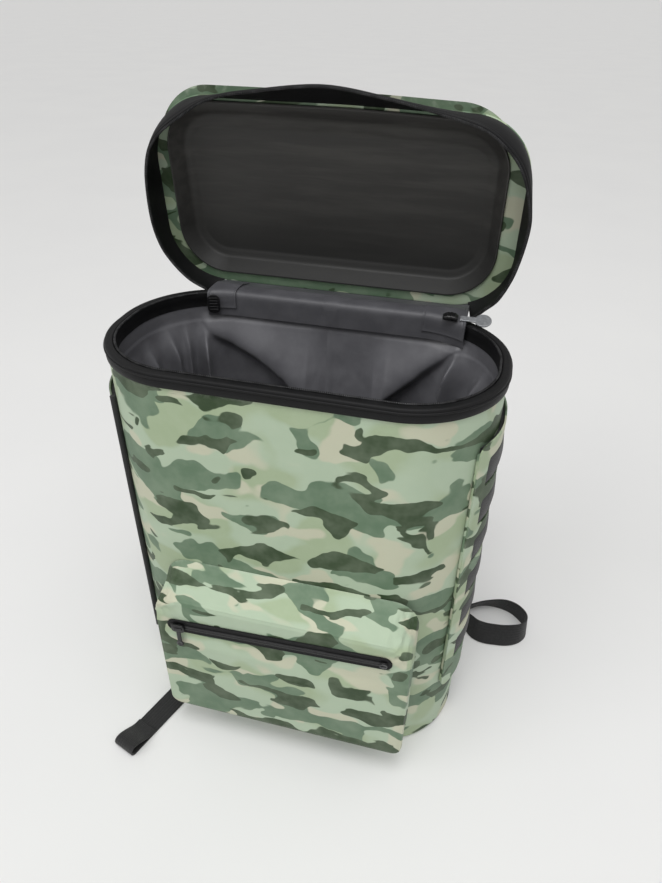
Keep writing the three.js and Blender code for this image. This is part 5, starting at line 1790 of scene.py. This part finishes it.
# Cloth under light pressure, with the move of every point held to a cap
def inflate(piece):
    remesh = piece.modifiers.new("remesh", "REMESH")
    remesh.mode = "VOXEL"
    remesh.voxel_size = pad["voxel"] * mm
    applyModifiers(piece)
    rest = [v.co.copy() for v in piece.data.vertices]
    held = piece.vertex_groups.new(name="held")
    held.add([v.index for v in piece.data.vertices if v.co.y < (backY + 1.2) * mm], 1.0, "REPLACE")
    cloth = piece.modifiers.new("cloth", "CLOTH")
    cloth.settings.use_pressure = True
    cloth.settings.uniform_pressure_force = pad["pressure"]
    cloth.settings.vertex_group_mass = "held"
    cloth.settings.effector_weights.gravity = 0
    for number in range(1, 21):
        bpy.context.scene.frame_set(number)
    applyModifiers(piece)
    for v, start in zip(piece.data.vertices, rest):
        move = v.co - start
        if move.length > pad["cap"] * mm:
            v.co = start + move.normalized() * pad["cap"] * mm
    bpy.context.scene.frame_set(1)
    fine = piece.modifiers.new("fine", "SUBSURF")
    fine.levels = 1
    fine.render_levels = 1
    applyModifiers(piece)


def applyModifiers(piece):
    graph = bpy.context.evaluated_depsgraph_get()
    graph.update()
    mesh = bpy.data.meshes.new_from_object(piece.evaluated_get(graph), depsgraph=graph)
    piece.modifiers.clear()
    piece.data = mesh


strap = {"spacing": 96, "width": 60, "thick": 9, "top": 356, "bottom": 150, "bow": 34, "splay": 14}
yoke = {"high": 24, "thick": 3}
strapFace = padFace + seat + yoke["thick"] + seat + strap["thick"] / 2
strapRows = [(0, 0, 0.8), (0.1, 0.22, 0.95), (0.25, 0.66, 1), (0.42, 0.96, 1), (0.6, 1, 1),
             (0.78, 0.8, 0.95), (0.92, 0.5, 0.8), (1, 0.34, 0.55)]


def makeShoulderStrap(name, way, node):
    stops, bindings = [], []
    for down, bow, width in throughRows(strapRows, 8):
        place = Vector((way * strap["spacing"] / 2 + way * strap["splay"] * down,
                        strapFace + strap["bow"] * bow,
                        share(strap["top"], strap["bottom"], down)))
        stops.append((place, Vector((1, 0, 0)), (strap["width"] - 1) * width))
    padding = makePiece(name, strapPart(stops, strap["thick"] - 3, 1.0, 1.4, 18), shades["pad"],
                        replaces=[node])
    webStops = [(place + faceOf(stops, i) * (strap["thick"] / 2 + 0.9), across, 24) for i,
                (place, across, width) in enumerate(stops)]
    webOn = webStops[3:-2]
    makePiece(name + "Web", strapPart(webOn, 1.2), shades["web"])
    for edge in (-1, 1):
        rings = []
        for i, (place, across, width) in enumerate(stops):
            heart = place + across * edge * (width / 2 + 0.1)
            out = faceOf(stops, i)
            rings.append([tuple(heart + across * 1.3 * math.cos(a) + out * 3.4 * math.sin(a))
                          for a in [2 * math.pi * k / 12 for k in range(12)]])
        bindings.append(loft(rings))
    makePiece(name + "Binding", joined(bindings), shades["tape"])


def faceOf(stops, i):
    along = (stops[min(i + 1, len(stops) - 1)][0] - stops[max(i - 1, 0)][0]).normalized()
    face = along.cross(stops[i][1]).normalized()
    return face if face.y > 0 else -face


lock = {"width": 33, "height": 26, "thick": 7, "x": 66, "anchorX": 131, "anchorZ": 28, "anchorHeight": 30}
lockY = strapFace + strap["bow"] * 0.3
lockTop = strap["bottom"] - 3


def upright(x, y, z):
    return Matrix.Translation((x, y, z)) @ Matrix.Rotation(math.pi / 2, 4, "X")


def makeLock(name, way, node):
    rows, _ = roundedPath(lock["width"] - 5, lock["height"] - 5, [3] * 4, 80)
    frameRings = []
    for a in [2 * math.pi * k / 14 for k in range(14)]:
        o, z = 2.4 * math.cos(a), 2.6 * math.sin(a)
        frameRings.append(ringAt(rows, o, z))
    parts = [loft(frameRings, around=True)]
    for y in (-4.5, 1.2, 6.2):
        parts.append(barPart((-lock["width"] / 2 + 2.5, y, 0.4), (lock["width"] / 2 - 2.5, y, 0.4), 1.9))
    move = upright(way * lock["x"], lockY, lockTop - lock["height"] / 2)
    makePiece(name, placedPart(joined(parts), move), shades["plastic"], replaces=[node],
              sharp=50)


def makeLowerWeb(name, way, node):
    top = lockTop - lock["height"] - seat
    turn = math.asin((lock["anchorX"] - backStraight) / bag["corner"])
    rise = yoke["thick"] + 3 * seat + web["thick"] / 2
    foot, _ = endPlace(endArc - turn * bag["corner"], rise, lock["anchorZ"], 1)
    x0, y0 = lock["x"], lockY
    rows = [
        (x0, y0, 0.0, 0), (x0, y0, 0.06, 0), (share(x0, foot[0], 0.45), y0 - 3, 0.4, 0),
        (share(x0, foot[0], 0.85), padFace + 4, 0.72, turn * 0.4),
        (share(x0, foot[0], 0.98), share(padFace, foot[1], 0.5), 0.87, turn * 0.9),
        (foot[0], foot[1], 0.94, turn), (foot[0], foot[1], 1.0, turn),
    ]
    stops = []
    for x, y, t, bend in throughRows(rows, 6):
        stops.append((Vector((way * x, y, share(top, lock["anchorZ"], t))),
                      Vector((math.cos(bend), -way * math.sin(bend), 0)), web["width"]))
    makePiece(name, strapPart(stops, web["thick"], level=True), shades["web"], replaces=[node])


def makeAnchor(name, way, node):
    grid, out, cloth = [], [], []
    middle = lock["anchorZ"] - 4
    for v in steps(14):
        z = share(middle - lock["anchorHeight"] / 3, middle + lock["anchorHeight"] / 3, v)
        row, dirs = [], []
        for u in steps(24):
            x = lock["anchorX"] + share(-20, 20, u)
            edge = min(u, 1 - u) * 40, min(v, 1 - v) * 20
            groove = 0.35 * math.exp(-((min(edge) - 2.2) / 0.5) ** 2)
            row.append((way * x, backFaceY(x, seat + yoke["thick"] - groove), z))
            dirs.append((0.0, 1.0, 0.0))
            cloth.append((x, z))
        grid.append(row)
        out.append(dirs)
    makePiece(name, sheetPart(grid, out, yoke["thick"] - 0.8, cloth=cloth), shades["web"],
              replaces=[node])


def makeYokes():
    y = padFace + seat + yoke["thick"]
    yokePlate = platePart(strap["spacing"] + strap["width"], yoke["high"], 6, yoke["thick"], 0.8, count=160)
    makePiece("strapYoke", placedPart(yokePlate, upright(0, y, strap["top"])), shades["web"],
              replaces=["strap_yoke"])
    patch = platePart(handle["span"] + 30, web["width"] + 8, 6, yoke["thick"], 0.8, count=160)
    makePiece("handlePatch", placedPart(patch, upright(0, y, handle["z"])), shades["web"],
              replaces=["handle_patch"])


handle = {"span": 92, "reach": 30, "z": 385}


def makeHandle():
    half = handle["span"] / 2
    y = padFace + seat + yoke["thick"] + seat + web["thick"] / 2
    reach = handle["reach"]
    rows = [(-half, y), (-half + 4, y + reach * 0.5), (-half * 0.6, y + reach * 0.92), (0, y + reach),
            (half * 0.6, y + reach * 0.92), (half - 4, y + reach * 0.5), (half, y)]
    stops = []
    for x, py in throughRows(rows, 8):
        grip = 1 - 0.12 * smooth(1 - abs(x) / half, 0.2, 0.7)
        stops.append((Vector((x, py, handle["z"])), Vector((0, 0, 1)), web["width"] * grip))
    makePiece("grabHandle", strapPart(stops, 2 * web["thick"], 0.9, 0.0), shades["web"],
              replaces=["grab_handle"])


makeBackPad()
for word, way in (("Right", 1), ("Left", -1)):
    low = word.lower()
    makeShoulderStrap("shoulderStrap" + word, way, "shoulder_strap_" + low)
    makeLock("strapLock" + word, way, "strap_lock_" + low)
    makeLowerWeb("lowerWeb" + word, way, "lower_web_" + low)
    makeAnchor("strapAnchor" + word, way, "strap_anchor_" + low)
makeYokes()
makeHandle()
print("back ready")


# Pale floor and soft studio light
studio = {"floor": tint(226, 226, 226), "floorSize": 160, "world": (1.0, 0.995, 0.985),
          "worldStrength": 0.47}
# Kind, place in metres, angle in degrees or size in metres, and power
studioLights = {
    "windowLight": ("SUN", (-1.6, -1.5, 2.2), 40, 0.75),
    "roomLight": ("SUN", (0.8, -0.9, 3.2), 50, 0.78),
    "ceilingLight": ("AREA", (0.1, -0.75, 2.3), 0.7, 15),
}


def makeStudio():
    half = studio["floorSize"] / 2
    mesh = bpy.data.meshes.new("floor")
    mesh.from_pydata([(-half, -half, 0), (half, -half, 0), (half, half, 0), (-half, half, 0)], [],
                     [(0, 1, 2, 3)])
    floor = bpy.data.objects.new("floor", mesh)
    bpy.context.scene.collection.objects.link(floor)
    material = bpy.data.materials.new("paleFloor")
    material.use_nodes = True
    tree = material.node_tree
    shader = tree.nodes["Principled BSDF"]
    spot = addNode(tree, "ShaderNodeTexCoord").outputs["Object"]
    cloud = cloudy(tree, spot, 3.0, 3.0).outputs["Fac"]
    tree.links.new(mixed(tree, cloud, studio["floor"], tint(232, 232, 231)), shader.inputs["Base Color"])
    shader.inputs["Roughness"].default_value = 0.7
    mesh.materials.append(material)
    world = bpy.data.worlds.new("studio")
    bpy.context.scene.world = world
    world.use_nodes = True
    back = world.node_tree.nodes["Background"]
    back.inputs["Color"].default_value = (*studio["world"], 1)
    back.inputs["Strength"].default_value = studio["worldStrength"]
    for name, (kind, place, size, power) in studioLights.items():
        data = bpy.data.lights.new(name, kind)
        if kind == "SUN":
            data.angle = math.radians(size)
        else:
            data.size = size
        data.energy = power
        lamp = bpy.data.objects.new(name, data)
        lamp.location = place
        lamp.rotation_euler = (Vector((0, 0, 0.3)) - Vector(place)).to_track_quat("-Z", "Y").to_euler()
        bpy.context.scene.collection.objects.link(lamp)


makeStudio()
bpy.context.scene.view_settings.view_transform = "Standard"
print("studio ready")
